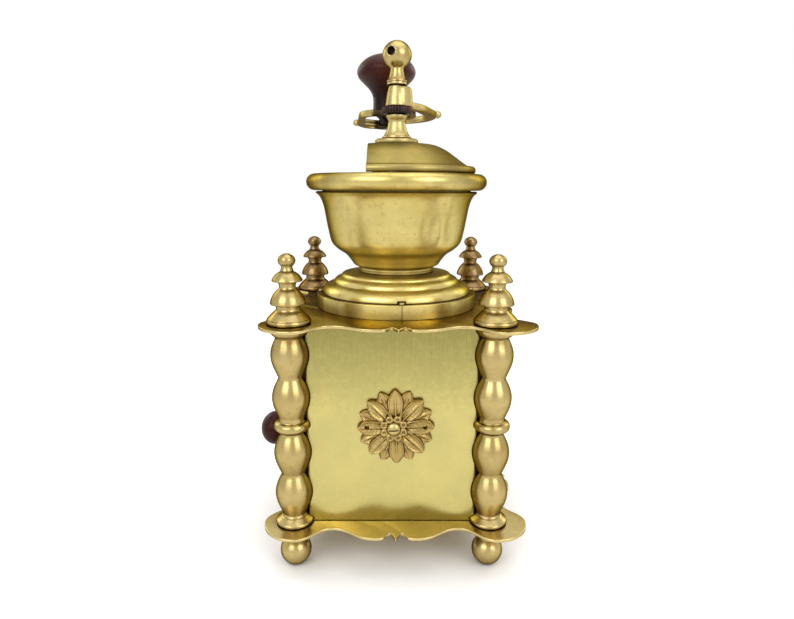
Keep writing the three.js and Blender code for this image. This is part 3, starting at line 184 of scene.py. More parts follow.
def raised(points, foot):
    """A profile of radius and height with its heights counted from a foot"""
    return [(r, foot + z) for r, z in points]


def rounded(points, radius=0.3, steps=3, closed=True):
    """The outline with its sharp corners turned into small arcs"""
    out = []
    count = len(points)
    for i, p in enumerate(points):
        here = np.array(p, float)
        if not closed and i in (0, count - 1):
            out.append(here)
            continue
        a = np.array(points[i - 1], float) - here
        b = np.array(points[(i + 1) % count], float) - here
        la, lb = np.linalg.norm(a), np.linalg.norm(b)
        if la < SAME_POINT or lb < SAME_POINT:
            continue
        a, b = a / la, b / lb
        angle = math.acos(max(-1.0, min(1.0, float(a @ b))))
        if angle > STRAIGHT:
            out.append(here)
            continue
        reach = min(radius / math.tan(angle / 2), 0.45 * la, 0.45 * lb)
        first, last = here + a * reach, here + b * reach
        for k in range(steps + 1):
            t = k / steps
            out.append((1 - t) ** 2 * first + 2 * t * (1 - t) * here + t * t * last)
    return np.array(out)


def beside(path, distance, closed=False):
    """The points of a path moved to its right"""
    p = np.array(path, float)
    before = np.roll(p, 1, 0)
    after = np.roll(p, -1, 0)
    if not closed:
        before[0] = 2 * p[0] - p[1]
        after[-1] = 2 * p[-1] - p[-2]
    a = p - before
    b = after - p
    a /= np.maximum(np.linalg.norm(a, axis=1), TINY)[:, None]
    b /= np.maximum(np.linalg.norm(b, axis=1), TINY)[:, None]
    mitre = a + b
    mitre /= np.maximum(np.linalg.norm(mitre, axis=1), TINY)[:, None]
    reach = distance / np.maximum((mitre * b).sum(1), 0.5)
    return p + np.stack([mitre[:, 1], -mitre[:, 0]], 1) * reach[:, None]


def sheet_along(path, wall=-SHEET):
    return [*map(tuple, path), *map(tuple, beside(path, wall)[::-1])]


# Solids, each as points and faces

def lathe(profile, sides=FINE_ROUND, closed=True, begin=0.0, sweep=2 * math.pi):
    """A profile of radius and height turned about the upright axis"""
    p = np.array(profile, float)
    whole = abs(sweep - 2 * math.pi) < SAME_POINT
    slices = sides if whole else sides + 1
    a = begin + sweep * np.arange(slices) / sides
    x = np.cos(a)[:, None] * p[None, :, 0]
    y = np.sin(a)[:, None] * p[None, :, 0]
    z = np.broadcast_to(p[None, :, 1], x.shape)
    points = np.stack([x, y, z], -1).reshape(-1, 3)
    n = len(p)
    faces = []
    for j in range(sides):
        k = (j + 1) % slices
        for i in range(n if closed else n - 1):
            m = (i + 1) % n
            faces.append((j * n + i, k * n + i, k * n + m, j * n + m))
    if not whole:
        faces.append(tuple(range(n)))
        faces.append(tuple((slices - 1) * n + i for i in range(n)))
    return points, faces


def turned(profile, sides=SMALL_ROUND):
    """A solid whose profile starts and ends on the axis"""
    return lathe(profile, sides, closed=False)


def loft(rings, capped=True):
    count = len(rings[0])
    points = np.concatenate([np.array(r, float) for r in rings])
    faces = []
    for i in range(len(rings) - 1):
        for j in range(count):
            k = (j + 1) % count
            faces.append((i * count + j, i * count + k, (i + 1) * count + k, (i + 1) * count + j))
    if capped:
        faces.append(tuple(range(count)))
        faces.append(tuple((len(rings) - 1) * count + j for j in range(count)))
    return points, faces


def at_height(outline, z):
    p = np.array(outline, float)
    return np.column_stack([p, np.full(len(p), float(z))])


def counter_clockwise(outline):
    p = np.array(outline, float)
    x, y = p[:, 0], p[:, 1]
    return p if (x * np.roll(y, -1) - np.roll(x, -1) * y).sum() > 0 else p[::-1]


def prism(outline, bottom, top, edge=0.3, steps=3):
    """An outline in plan raised between two heights, its rims rounded"""
    p = counter_clockwise(outline)
    turns = [math.radians(90 * k / steps) for k in range(steps + 1)]
    rings = []
    for z, direction in ((bottom, 1), (top, -1)):
        rim = []
        for t in turns:
            inset = beside(p, -edge * (1 - math.sin(t)), closed=True)
            rim.append(at_height(inset, z + direction * edge * (1 - math.cos(t))))
        rings += rim if direction > 0 else rim[::-1]
    return loft(rings)


def block(half_x, half_y, bottom, top, edge=0.01, steps=1):
    """A square or oblong bar, such as what cuts a screw's slot"""
    outline = [(-half_x, -half_y), (half_x, -half_y), (half_x, half_y), (-half_x, half_y)]
    return prism(outline, bottom, top, edge, steps)


def cup(outline, wall, bottom, top, edge=0.3):
    """An open tray of one wall thickness"""
    p = counter_clockwise(outline)
    lip = edge / 2

    def ring(inset, z):
        return at_height(beside(p, -inset, closed=True) if inset else p, z)

    return loft([ring(edge, bottom), ring(0, bottom + edge), ring(0, top - lip), ring(lip, top),
                 ring(wall - lip, top), ring(wall, top - lip), ring(wall, bottom + wall)])


def moved(shape, x=0.0, y=0.0, z=0.0):
    return shape[0] + np.array([x, y, z]), shape[1]


def spun(shape, angle):
    """Turned about the upright axis"""
    c, s = math.cos(angle), math.sin(angle)
    return shape[0] @ np.array([[c, s, 0], [-s, c, 0], [0, 0, 1]]), shape[1]


def facing_front(shape):
    """What was built along +Z stands out along -Y, its own +Y up"""
    p = shape[0]
    return np.stack([p[:, 0], -p[:, 2], p[:, 1]], 1), shape[1]


def joined(*shapes):
    points, faces, base = [], [], 0
    for p, f in shapes:
        points.append(p)
        faces += [tuple(i + base for i in face) for face in f]
        base += len(p)
    return np.concatenate(points), faces


def cylinder(radius, bottom, top, sides=SMALL_ROUND, edge=0.0):
    line = [(0, bottom), (radius, bottom), (radius, top), (0, top)]
    return turned(rounded(line, edge, closed=False) if edge else line, sides)


# Blender meshes

def mesh_of(name, shape, crease=CREASE):
    """A clean mesh in the frame's metres, smooth except at its creases"""
    mesh = bpy.data.meshes.new(name)
    points = np.asarray(shape[0]) / 1000 + axis
    mesh.from_pydata(points.tolist(), [], shape[1])
    tidy(mesh, crease)
    return mesh


def tidy(mesh, crease):
    bm = bmesh.new()
    bm.from_mesh(mesh)
    bmesh.ops.remove_doubles(bm, verts=bm.verts, dist=WELD)
    bmesh.ops.dissolve_degenerate(bm, edges=bm.edges, dist=WELD)
    bmesh.ops.recalc_face_normals(bm, faces=bm.faces)
    limit = math.radians(crease)
    for edge in bm.edges:
        edge.smooth = len(edge.link_faces) != 2 or edge.calc_face_angle(0.0) < limit
    for face in bm.faces:
        face.smooth = True
    bm.to_mesh(mesh)
    bm.free()


def with_modifier(obj, kind, **settings):
    """Applies one modifier to the object's mesh"""
    modifier = obj.modifiers.new(kind.lower(), kind)
    for key, value in settings.items():
        setattr(modifier, key, value)
    graph = bpy.context.evaluated_depsgraph_get()
    result = bpy.data.meshes.new_from_object(obj.evaluated_get(graph))
    obj.modifiers.remove(modifier)
    obj.data = result


def cut(obj, *shapes, crease=CREASE):
    """Takes solids away from the object"""
    for shape in shapes:
        cutter = bpy.data.objects.new("cutter", mesh_of("cutter", shape))
        bpy.context.scene.collection.objects.link(cutter)
        with_modifier(obj, "BOOLEAN", operation="DIFFERENCE", solver="EXACT", object=cutter)
        bpy.data.objects.remove(cutter)
    tidy(obj.data, crease)


def slice_off(obj, x):
    """Takes away everything beyond an upright plane at a negative X and closes the cut"""
    bm = bmesh.new()
    bm.from_mesh(obj.data)
    cutting = bmesh.ops.bisect_plane(bm, geom=[*bm.verts, *bm.edges, *bm.faces], dist=WELD, clear_outer=True,
                                     plane_co=(x / 1000 + axis[0], 0, 0), plane_no=(-1, 0, 0))
    edges = [e for e in cutting["geom_cut"] if isinstance(e, bmesh.types.BMEdge)]
    bmesh.ops.triangle_fill(bm, use_beauty=True, edges=edges)
    bm.to_mesh(obj.data)
    bm.free()
    tidy(obj.data, CREASE)


def cast(obj, voxel, rounds):
    """Melts overlapping solids into one soft-edged casting"""
    with_modifier(obj, "REMESH", mode="VOXEL", voxel_size=voxel / 1000, adaptivity=0.0)
    with_modifier(obj, "SMOOTH", factor=0.5, iterations=rounds)
    tidy(obj.data, NO_CREASE)


# The brushing's coordinates, which a lay function works out from the points

def round_upright(p, centre=(0.0, 0.0)):
    """Brushing runs round an upright axis: radius, height and a little of the angle"""
    x, y = p[:, 0] - centre[0], p[:, 1] - centre[1]
    return np.stack([np.hypot(x, y), p[:, 2], 0.6 * np.sin(np.arctan2(y, x))], 1)


def upward(p):
    """Brushing runs up and down"""
    return np.stack([p[:, 0], p[:, 1], p[:, 2] * 0.02], 1)


def sideways(p):
    """Brushing runs along X"""
    return np.stack([p[:, 0] * 0.02, p[:, 1], p[:, 2]], 1)


def all_ways(p):
    """No brushing direction"""
    return p


def set_lay(obj, lay):
    """Stores the brushing's coordinates, in millimetres, for the materials to read"""
    mesh = obj.data
    co = np.zeros(len(mesh.vertices) * 3)
    mesh.vertices.foreach_get("co", co)
    p = (co.reshape(-1, 3) - axis) * 1000
    attribute = mesh.attributes.new("lay", "FLOAT_VECTOR", "POINT")
    attribute.data.foreach_set("vector", lay(p).astype(np.float32).ravel())


def start(node, shape, crease=CREASE):
    obj = bpy.data.objects.new("fine_" + node, mesh_of("fine_" + node, shape, crease))
    bpy.context.scene.collection.objects.link(obj)
    return obj


def done(obj, node, material, lay=round_upright):
    """The finished piece takes its node's place and body, with the given material"""
    set_lay(obj, lay)
    obj.data.materials.clear()
    obj.data.materials.append(material)
    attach(obj, body_of[node])
    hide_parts(node)
    return obj


def make(node, shape, material, lay=round_upright, crease=CREASE):
    return done(start(node, shape, crease), node, material, lay)


# Materials

def shader(tree, kind, values=None, **settings):
    """Adds a shader node; a value is a number, a colour or another node's output"""
    made = tree.nodes.new("ShaderNode" + kind)
    for key, value in settings.items():
        setattr(made, key, value)
    for key, value in (values or {}).items():
        if isinstance(value, bpy.types.NodeSocket):
            tree.links.new(value, made.inputs[key])
        else:
            made.inputs[key].default_value = value
    return made


def blank(name):
    material = bpy.data.materials.new(name)
    material.use_nodes = True
    tree = material.node_tree
    tree.nodes.clear()
    output = tree.nodes.new("ShaderNodeOutputMaterial")
    return material, tree, output


def ramp(tree, factor, low_in, high_in, low_out=0.0, high_out=1.0):
    made = shader(tree, "MapRange", {"Value": factor, "From Min": low_in, "From Max": high_in,
                                     "To Min": low_out, "To Max": high_out}, clamp=True)
    return made.outputs["Result"]


def mix(tree, factor, a, b):
    made = tree.nodes.new("ShaderNodeMix")
    made.data_type = "RGBA"
    for index, value in ((0, factor), (6, a), (7, b)):
        if isinstance(value, bpy.types.NodeSocket):
            tree.links.new(value, made.inputs[index])
        elif index:
            made.inputs[index].default_value = (*value, 1.0)
        else:
            made.inputs[index].default_value = value
    return made.outputs[2]


def maths(tree, operation, a, b=0.0):
    return shader(tree, "Math", {0: a, 1: b}, operation=operation).outputs[0]


def times(tree, a, b):
    return maths(tree, "MULTIPLY", a, b)


def tinted(tree, colour, other, value, limits, strength):
    """The colour with a share of another one, which grows between the value's limits"""
    return mix(tree, times(tree, ramp(tree, value, *limits), strength), colour, other)


def noise(tree, vector, scale, detail, roughness):
    values = {"Vector": vector, "Scale": scale, "Detail": detail, "Roughness": roughness}
    return shader(tree, "TexNoise", values).outputs["Fac"]


def scaled(tree, vector, factors):
    return shader(tree, "VectorMath", {0: vector, 1: factors}, operation="MULTIPLY").outputs[0]


def millimetres(tree):
    return scaled(tree, shader(tree, "TexCoord").outputs["Object"], (1000.0, 1000.0, 1000.0))


def along(tree, where, side):
    return shader(tree, "SeparateXYZ", {"Vector": where}).outputs[side]


def brushing(tree):
    return shader(tree, "Attribute", attribute_name="lay", attribute_type="GEOMETRY").outputs["Vector"]


def metal(name, bright, dull, worn, rough=0.34, spread=0.1, brush=0.5, brush_scale=2.5, hollow_dirt_and_shade=1.0,
          dirt_and_shade=(0.05, 0.035, 0.015), edge_tint=(0.26, 0.20, 0.13), anisotropy=0.0, stretch=0.0, pits=0.15,
          tarnish=0.35, wear=0.5, shade_top=None, painted_dark_sides=None, painted_shadow=None):
    """Aged metal: two tones in soft patches, brushing, dirt and painted shade in the hollows and wear on the edges
    """
    material, tree, output = blank(name)
    where = millimetres(tree)
    lay = brushing(tree)
    patches = noise(tree, where, 0.045, 4.0, 0.6)
    clouds = noise(tree, where, 0.35, 5.0, 0.65)
    lines = noise(tree, lay, brush_scale, 4.0, 0.7)
    hairs = noise(tree, lay, brush_scale * 5, 2.0, 0.6)
    specks = noise(tree, where, 1.6, 2.0, 0.5)
    colour = mix(tree, ramp(tree, patches, 0.36, 0.64), bright, dull)

    # A darker top, between two heights with a cloudy border
    if shade_top:
        heights, top_colour = shade_top
        upper = maths(tree, "ADD", along(tree, where, "Z"), ramp(tree, clouds, 0.3, 0.7, -7.0, 7.0))
        colour = mix(tree, ramp(tree, upper, *heights), colour, top_colour)
    colour = tinted(tree, colour, dull, lines, (0.3, 0.75), brush * 0.5)
    colour = tinted(tree, colour, worn, clouds, (0.54, 0.76), tarnish)

    # Painted shade that grows with the distance from the axis along X, in upright streaks, standing in for the
    # dark reflections at the sides
    if painted_dark_sides:
        reach, strength, dark_side_colour = painted_dark_sides
        upright = noise(tree, scaled(tree, where, (1.0, 1.0, 0.12)), 0.075, 3.0, 0.6)
        aside = maths(tree, "SUBTRACT", along(tree, where, "X"), float(axis[0]) * 1000)
        aside = maths(tree, "ABSOLUTE", aside)
        aside = maths(tree, "ADD", aside, ramp(tree, upright, 0.3, 0.7, -14.0, 14.0))
        colour = tinted(tree, colour, dark_side_colour, aside, reach, strength)
    colour = tinted(tree, colour, dirt_and_shade, specks, (0.70, 0.78), pits * 2)
    # Dirt and painted shade darken the hollows that ambient occlusion finds
    occlusion = shader(tree, "AmbientOcclusion", {"Distance": 0.0022}, samples=6, only_local=False)
    colour = tinted(tree, colour, dirt_and_shade, occlusion.outputs["AO"], (0.72, 0.2), 0.85 * hollow_dirt_and_shade)
    point = shader(tree, "NewGeometry").outputs["Pointiness"]
    colour = tinted(tree, colour, worn, point, (0.53, 0.62), wear)

    # A painted shadow over a box of places, each side given by its middle and half its length
    if painted_shadow:
        sides, shadow_colour = painted_shadow
        inside = 0.95
        for side, middle, half in sides:
            away = maths(tree, "ABSOLUTE", maths(tree, "SUBTRACT", along(tree, where, side), middle))
            inside = times(tree, ramp(tree, away, half + 1.0, half - 1.0), inside)
        colour = mix(tree, inside, colour, shadow_colour)
    roughness = maths(tree, "ADD", ramp(tree, clouds, 0.3, 0.7, rough - spread / 2, rough + spread / 2),
                      ramp(tree, lines, 0.3, 0.7, -spread * 0.25, spread * 0.25))
    height = maths(tree, "ADD", times(tree, lines, brush),
                   maths(tree, "ADD", times(tree, hairs, brush * 0.5),
                         times(tree, clouds, 0.6)))
    bump = shader(tree, "Bump", {"Strength": 0.12, "Distance": 0.0002, "Height": height})
    values = {"Base Color": colour, "Metallic": 1.0, "Roughness": roughness, "Normal": bump.outputs[0],
              "Specular Tint": (*edge_tint, 1.0)}
    if anisotropy:
        tangent = shader(tree, "Tangent", direction_type="RADIAL", axis="Z")
        values["Anisotropic"] = anisotropy
        values["Anisotropic Rotation"] = stretch
        values["Tangent"] = tangent.outputs[0]
    surface = shader(tree, "BsdfPrincipled", values)
    tree.links.new(surface.outputs[0], output.inputs[0])
    return material


def stained_wood():
    """Dark red-brown lacquered wood with fine grain along its length, darker towards the handle's foot"""
    material, tree, output = blank("stained_wood")
    where = millimetres(tree)
    lay = brushing(tree)
    grain = noise(tree, lay, 0.55, 6.0, 0.7)
    fine = noise(tree, lay, 2.4, 4.0, 0.65)
    broad = noise(tree, where, 0.05, 3.0, 0.5)
    colour = mix(tree, ramp(tree, grain, 0.35, 0.68), (0.066, 0.012, 0.007), (0.014, 0.0045, 0.0035))
    colour = mix(tree, ramp(tree, fine, 0.55, 0.8, 0.0, 0.6), colour, (0.007, 0.003, 0.003))
    colour = mix(tree, ramp(tree, broad, 0.4, 0.7, 0.0, 0.4), colour, (0.085, 0.022, 0.011))
    level = along(tree, where, "Z")
    # Darker towards the handle's foot, below a height; the drawer knob lies too low to be touched
    darker_low = times(tree, ramp(tree, level, 265.0, 255.0), ramp(tree, level, 150.0, 200.0))
    colour = mix(tree, times(tree, darker_low, 0.85), colour, (0.008, 0.004, 0.003))
    height = maths(tree, "ADD", grain, times(tree, fine, 0.5))
    bump = shader(tree, "Bump", {"Strength": 0.2, "Distance": 0.0002, "Height": height})
    surface = shader(tree, "BsdfPrincipled", {
        "Base Color": colour, "Roughness": ramp(tree, fine, 0.3, 0.8, 0.36, 0.5), "Normal": bump.outputs[0],
        "Specular IOR Level": 0.10, "Coat Weight": 0.04, "Coat Roughness": 0.2})
    tree.links.new(surface.outputs[0], output.inputs[0])
    return material


# Highlights stretch across the brushing: level on the panels, upright on what was spun or turned
SPUN = {"brush": 0.6, "brush_scale": 1.2, "stretch": 0.25, "edge_tint": (0.10, 0.08, 0.05)}
# The hopper's brass takes painted shade on its sides, darker away from the axis along X
HOPPER = {**SPUN, "worn": (0.36, 0.23, 0.085), "tarnish": 0.6, "anisotropy": 0.4,
          "painted_dark_sides": ((22.0, 42.0), 0.55, (0.27, 0.20, 0.085))}
TURNED = {"brush": 0.6, "brush_scale": 2.0, "hollow_dirt_and_shade": 1.3, "anisotropy": 0.65, "stretch": 0.25,
          "edge_tint": (0.03, 0.02, 0.01)}
RUBBED = {"brush": 0.3, "brush_scale": 2.0, "hollow_dirt_and_shade": 1.2}

panel_brass = metal("panel_brass", (0.55, 0.47, 0.168), (0.475, 0.42, 0.158), (0.54, 0.42, 0.16), rough=0.29,
                    spread=0.05, brush=0.8, brush_scale=1.6, hollow_dirt_and_shade=0.3, anisotropy=0.6, wear=0.0,
                    shade_top=((82.0, 124.0), (0.245, 0.212, 0.058)))
plate_brass = metal("plate_brass", (0.63, 0.50, 0.22), (0.52, 0.41, 0.17), (0.66, 0.52, 0.33), rough=0.24,
                    spread=0.08, brush=0.7, brush_scale=1.6, hollow_dirt_and_shade=0.5, edge_tint=(0.12, 0.08, 0.05),
                    tarnish=0.2)
spun_brass = metal("spun_brass", (0.62, 0.51, 0.195), (0.50, 0.40, 0.13), **HOPPER)
# The band and the skirt take a lighter copy of the spun brass, painted light for the bright plate they reflect
band_brass = metal("band_brass", (0.72, 0.59, 0.225), (0.60, 0.48, 0.16), **HOPPER)
# The dome takes a darker copy of the spun brass: tarnish, and painted shade that tones down the lamps it reflects
dome_brass = metal("dome_brass", (0.37, 0.295, 0.105), (0.29, 0.23, 0.08), (0.24, 0.16, 0.065), rough=0.41,
                   anisotropy=0.3, **SPUN)
turned_brass = metal("turned_brass", (0.505, 0.395, 0.165), (0.41, 0.31, 0.12), (0.31, 0.175, 0.075),
                     rough=0.30, tarnish=0.5, **TURNED)
# The rear pieces take a darker copy of the turned brass, painted shade for the back of the mill
rear_shaded_brass = metal("rear_shaded_brass", (0.29, 0.195, 0.085), (0.20, 0.13, 0.055), (0.16, 0.085, 0.04), rough=0.31,
                   tarnish=0.6, **TURNED)
cast_brass = metal("cast_brass", (0.44, 0.32, 0.115), (0.34, 0.24, 0.08), (0.72, 0.57, 0.28), rough=0.29,
                   brush=0.1, hollow_dirt_and_shade=1.15, dirt_and_shade=(0.10, 0.052, 0.018))
polished_brass = metal("polished_brass", (0.55, 0.44, 0.19), (0.47, 0.37, 0.15), (0.40, 0.27, 0.12),
                       rough=0.33, dirt_and_shade=(0.03, 0.02, 0.012), edge_tint=(0.08, 0.06, 0.03), **RUBBED)
# The arm's brass has a painted shadow over a box along its middle bars
arm_brass = metal("arm_brass", (0.50, 0.40, 0.175), (0.41, 0.32, 0.13), (0.38, 0.26, 0.12), rough=0.35,
                  dirt_and_shade=(0.045, 0.028, 0.014), edge_tint=(0.10, 0.07, 0.04), **RUBBED,
                  painted_shadow=((("X", -3.3, 6.2), ("Y", 42.0, 40.0)), (0.030, 0.020, 0.014)))
dark_steel = metal("dark_steel", (0.05, 0.032, 0.028), (0.028, 0.020, 0.018), (0.11, 0.065, 0.045),
                   rough=0.45, brush=0.3, dirt_and_shade=(0.008, 0.006, 0.005), edge_tint=(0.6, 0.55, 0.5))
burr_iron = metal("burr_iron", (0.20, 0.19, 0.18), (0.13, 0.12, 0.115), (0.22, 0.15, 0.10), rough=0.5,
                  brush=0.1, dirt_and_shade=(0.02, 0.017, 0.015), edge_tint=(0.8, 0.8, 0.8), pits=0.5)
bright_steel = metal("bright_steel", (0.50, 0.50, 0.49), (0.42, 0.42, 0.41), (0.36, 0.32, 0.29), rough=0.3,
                     brush=0.4, dirt_and_shade=(0.08, 0.07, 0.06), edge_tint=(0.9, 0.9, 0.9))
wood = stained_wood()


# The case

def plate_outline(waist, bulge, shift=0.0):
    """Four sides alike, each an ogee between corner lobes with a cusp between two notches"""
    half = [*arc(-POST_AT, -POST_AT, LOBE, LOBE, 225, 270, 14)[:-1]]
    deep = -bulge + NOTCH_DEPTH

    def ogee(x0, y0, x1, y1):
        lean = (x1 - x0) * 0.42
        return bezier((x0, y0), (x0 + lean, y0), (x1 - lean, y1), (x1, y1), 14)

    half += ogee(-POST_AT, -REACH, -WAIST_AT, -waist)[:-1]
    half += ogee(-WAIST_AT, -waist, -BULGE_AT, -bulge)[:-1]
    half += bezier((-BULGE_AT, -bulge), (-BULGE_AT + 3, -bulge), (-NOTCH_AT - 1, -bulge - 0.1),
                   (-NOTCH_AT, -bulge + 1), 6)[:-1]
    half += bezier((-NOTCH_AT, -bulge + 1), (-NOTCH_AT + 0.6, -bulge + 2.5), (-NOTCH_INNER - 1, deep),
                   (-NOTCH_INNER, deep), 5)[:-1]
    half += bezier((-NOTCH_INNER, deep), (-1.6, deep - 1), (-0.9, -bulge + 1.5), (-0.25, -bulge), 5)
    side = np.array(half + [(-x, y) for x, y in half[::-1]])[:-1]
    outline = []
    for quarter in range(4):
        c, s = math.cos(quarter * math.pi / 2), math.sin(quarter * math.pi / 2)
        outline += [(c * x - s * y + shift, s * x + c * y) for x, y in side]
    return outline


def plates():
    outline = plate_outline(BOTTOM_WAIST, BOTTOM_BULGE)
    make("bottom_plate", prism(outline, *levels("bottom_plate"), PLATE_EDGE), plate_brass, sideways)
    outline = plate_outline(TOP_WAIST, TOP_BULGE, TOP_PLATE_SHIFT)
    bottom, top = levels("top_plate")
    plate = start("top_plate", prism(outline, bottom, top, PLATE_EDGE))
    cut(plate, cylinder(TOP_PLATE_BORE, bottom - 1, top + 1))
    done(plate, "top_plate", plate_brass, sideways)


def foot_profile():
    """A ball on a small flat, with a neck that flares under the plate"""
    height = high("foot_front_left")
    ball, flat, neck = 8.0, 2.5, 4.5
    head = neck + 1.4
    centre = math.sqrt(ball ** 2 - flat ** 2)
    begin = -math.degrees(math.acos(flat / ball))
    end = math.degrees(math.acos(neck / ball))
    line = [(0, 0), *arc(0, centre, ball, ball, begin, end, 28)]
    line += bezier((neck, line[-1][1]), (neck - 0.1, height - 5), (neck + 0.1, height - 2),
                   (head, height - 0.6), 8)[1:]
    return [*line, (head, height), (0, height)]


def post_profile():
    """Two ovoids, a ring and two ovoids between flared collars"""
    base, top = levels("post_front_left")
    belly, neck = 9.3, 5.85
    foot_collar, ring_height, head_collar, last = 5.1, 7.2, 5.4, 0.92
    ovoid = (top - base - foot_collar - ring_height - head_collar) / (3 + last)

    def bulge(start_z, begin=0.012, end=0.988):
        return [(neck + (belly - neck) * math.sin(math.pi * t ** 1.1), start_z + t * ovoid)
                for t in np.linspace(begin, end, 24)]

    first = base + foot_collar
    ring = first + 2 * ovoid
    third = ring + ring_height
    line = [(ROD_BORE, base), (8.9, base), (9.35, base + 0.3), (9.58, base + 0.85), (9.5, base + 1.4)]
    line += through([(9.3, base + 1.75), (8.4, base + 2.4), (7.5, base + 3.1), (6.75, base + 3.75)], 5)
    line += [(6.3, base + 3.9), (6.25, base + 4.15), (6.4, base + 4.35), (6.05, base + 4.7)]
    line += bulge(first) + bulge(first + ovoid)
    line += through([(neck + 0.1, ring + 0.15), (neck + 0.35, ring + 0.8), (7.1, ring + 1.45)], 4)
    line += arc(7.2, ring + 4.1, 1.8, 2.3, -72, 78, 16)
    line += [(6.6, third - 0.6), (6.4, third - 0.35), (6.4, third + 0.9)]
    line += bulge(third, 0.07) + bulge(third + ovoid, end=last - 0.005)
    line += through([(6.72, top - 5.2), (7.3, top - 4.3), (8.4, top - 3.3), (9.15, top - 2.0),
                     (9.42, top - 0.9)], 5)
    return [*line, (9.48, top - 0.5), (9.2, top), (ROD_BORE, top)]


def finial_profile():
    """A dished foot, two bells with sharp lips, and a ball with a nub"""
    foot, tip = levels("finial_front_left")
    line = [(0, 15), (ROD_BORE, 15), (ROD_BORE, 0), (10.2, 0), (10.6, 0.25), (10.8, 0.8), (10.78, 1.3),
            (10.5, 1.85), (10.15, 2.05), (10.2, 2.35)]
    line += through([(10.05, 2.6), (8.95, 3.8), (7.5, 5.2), (6.2, 6.3), (5.75, 7.3), (5.95, 8.6)], 6)
    line += [(6.3, 9.15), (8.25, 9.3), (8.5, 9.55), (8.5, 10.0)]
    line += through([(8.4, 10.5), (8.05, 11.7), (7.15, 13.6), (5.6, 15.6), (4.3, 16.8), (3.95, 17.8),
                     (4.1, 18.9), (4.6, 19.9)], 6)
    line += [(4.95, 20.35), (7.05, 20.4), (7.3, 20.65), (7.28, 21.05)]
    line += through([(7.1, 21.4), (6.5, 22.3), (5.6, 23.4), (4.2, 24.5), (3.3, 24.95)], 6)
    line += [(3.05, 25.1), (3.2, 25.4), (3.05, 25.75)]
    line += through([(2.85, 26.1), (2.65, 26.9), (2.7, 27.35)], 4)
    ball = arc(0, foot + 30.15, 4.15, 3.25, -46, 66, 18)
    nub = raised([(1.4, 33.15), (1.3, 33.4)], foot) + [(0.6, tip - 0.05), (0, tip)]
    return raised(line, foot) + ball + nub


def columns():
    """The rear ones take a darker copy of the brass, painted shade"""
    foot, post, finial = foot_profile(), rounded(post_profile(), 0.15), finial_profile()
    for corner, (x, y) in POSTS.items():

        def lay(p, centre=(x, y)):
            return round_upright(p, centre)

        brass = rear_shaded_brass if y > 0 else turned_brass
        make("foot_" + corner, moved(turned(foot, 72), x, y), brass, lay)
        make("post_" + corner, moved(lathe(post, POST_ROUND), x, y), brass, lay)
        make("finial_" + corner, moved(turned(finial, 80), x, y), brass, lay)
        rod = cylinder(ROD_RADIUS, *levels("tie_rod_" + corner), 24, 0.3)
        make("tie_rod_" + corner, moved(rod, x, y), bright_steel, lay)


def pan(node, half, radius=PANEL_BEND):
    """A shallow pan of bent sheet that faces -Y"""
    face = -POST_AT
    back = face + PANEL_FLANGE

    def bend(side, begin, end):
        return arc(side * (half - radius), face + radius, radius, radius, begin, end, 6)

    path = [(-half, back), *bend(-1, 180, 270), *bend(1, 270, 360), (half, back)]
    return prism(sheet_along(path), *levels(node), 0.2, 2)


def scribing_posts():
    """Four solids a little stouter than the posts"""
    outer = [(r + SCRIBE_GAP, z) for r, z in post_profile() if r > ROD_BORE]
    (foot_radius, foot), (head_radius, head) = outer[0], outer[-1]
    line = [(0, foot - 1), (foot_radius, foot - 1), *outer, (head_radius, head + 1), (0, head + 1)]
    return [moved(turned(line, POST_ROUND), x, y) for x, y in POSTS.values()]


def panels():
    """The front and rear panels reach behind the posts' bellies and are cut round them"""
    turns = {"front_panel": 0, "rear_panel": math.pi, "right_panel": math.pi / 2, "left_panel": -math.pi / 2}
    for node, turn in turns.items():
        scribed = node in ("front_panel", "rear_panel")
        shape = pan(node, SCRIBED_HALF, SCRIBED_BEND) if scribed else pan(node, PANEL_HALF)
        panel = start(node, moved(spun(shape, turn), CASE_SHIFT), FLAT_CREASE)
        if scribed:
            cut(panel, *scribing_posts(), crease=FLAT_CREASE)
        done(panel, node, panel_brass, upward)


# The drawer, built to face -Y and turned to face -X

def drawer():
    turn = -math.pi / 2
    front = pan("drawer_front", PANEL_HALF - 0.4)
    make("drawer_front", moved(spun(front, turn), CASE_SHIFT), panel_brass, upward)

    (x0, y0, bottom), (x1, y1, top) = ((np.array(p) - axis) * 1000 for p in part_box("drawer_tray"))
    outline = rounded([(x0, y0), (x1, y0), (x1, y1), (x0, y1)], 2.0, 6)
    make("drawer_tray", cup(outline, SHEET, bottom, top), plate_brass, sideways)

    length, bulb, half = 26.7, 9.7, 8.25
    line = [(0, 15), (2.3, 15), (2.3, 0), (6.9, 0), (7.0, 0.4), (6.9, 1.2)]
    line += through([(6.4, 1.9), (5.1, 4.0), (4.8, 6.4), (5.2, 8.8)], 6)
    line += arc(0, length - half, bulb, half, -54, 90, 26)

    def grain(p):
        return np.stack([p[:, 0] * 0.12, p[:, 1], p[:, 2]], 1)

    middle = (low("drawer_knob") + high("drawer_knob")) / 2
    knob = spun(moved(facing_front(turned(line, 80)), 0, -POST_AT - GAP, middle), turn)
    make("drawer_knob", moved(knob, CASE_SHIFT), wood, grain)


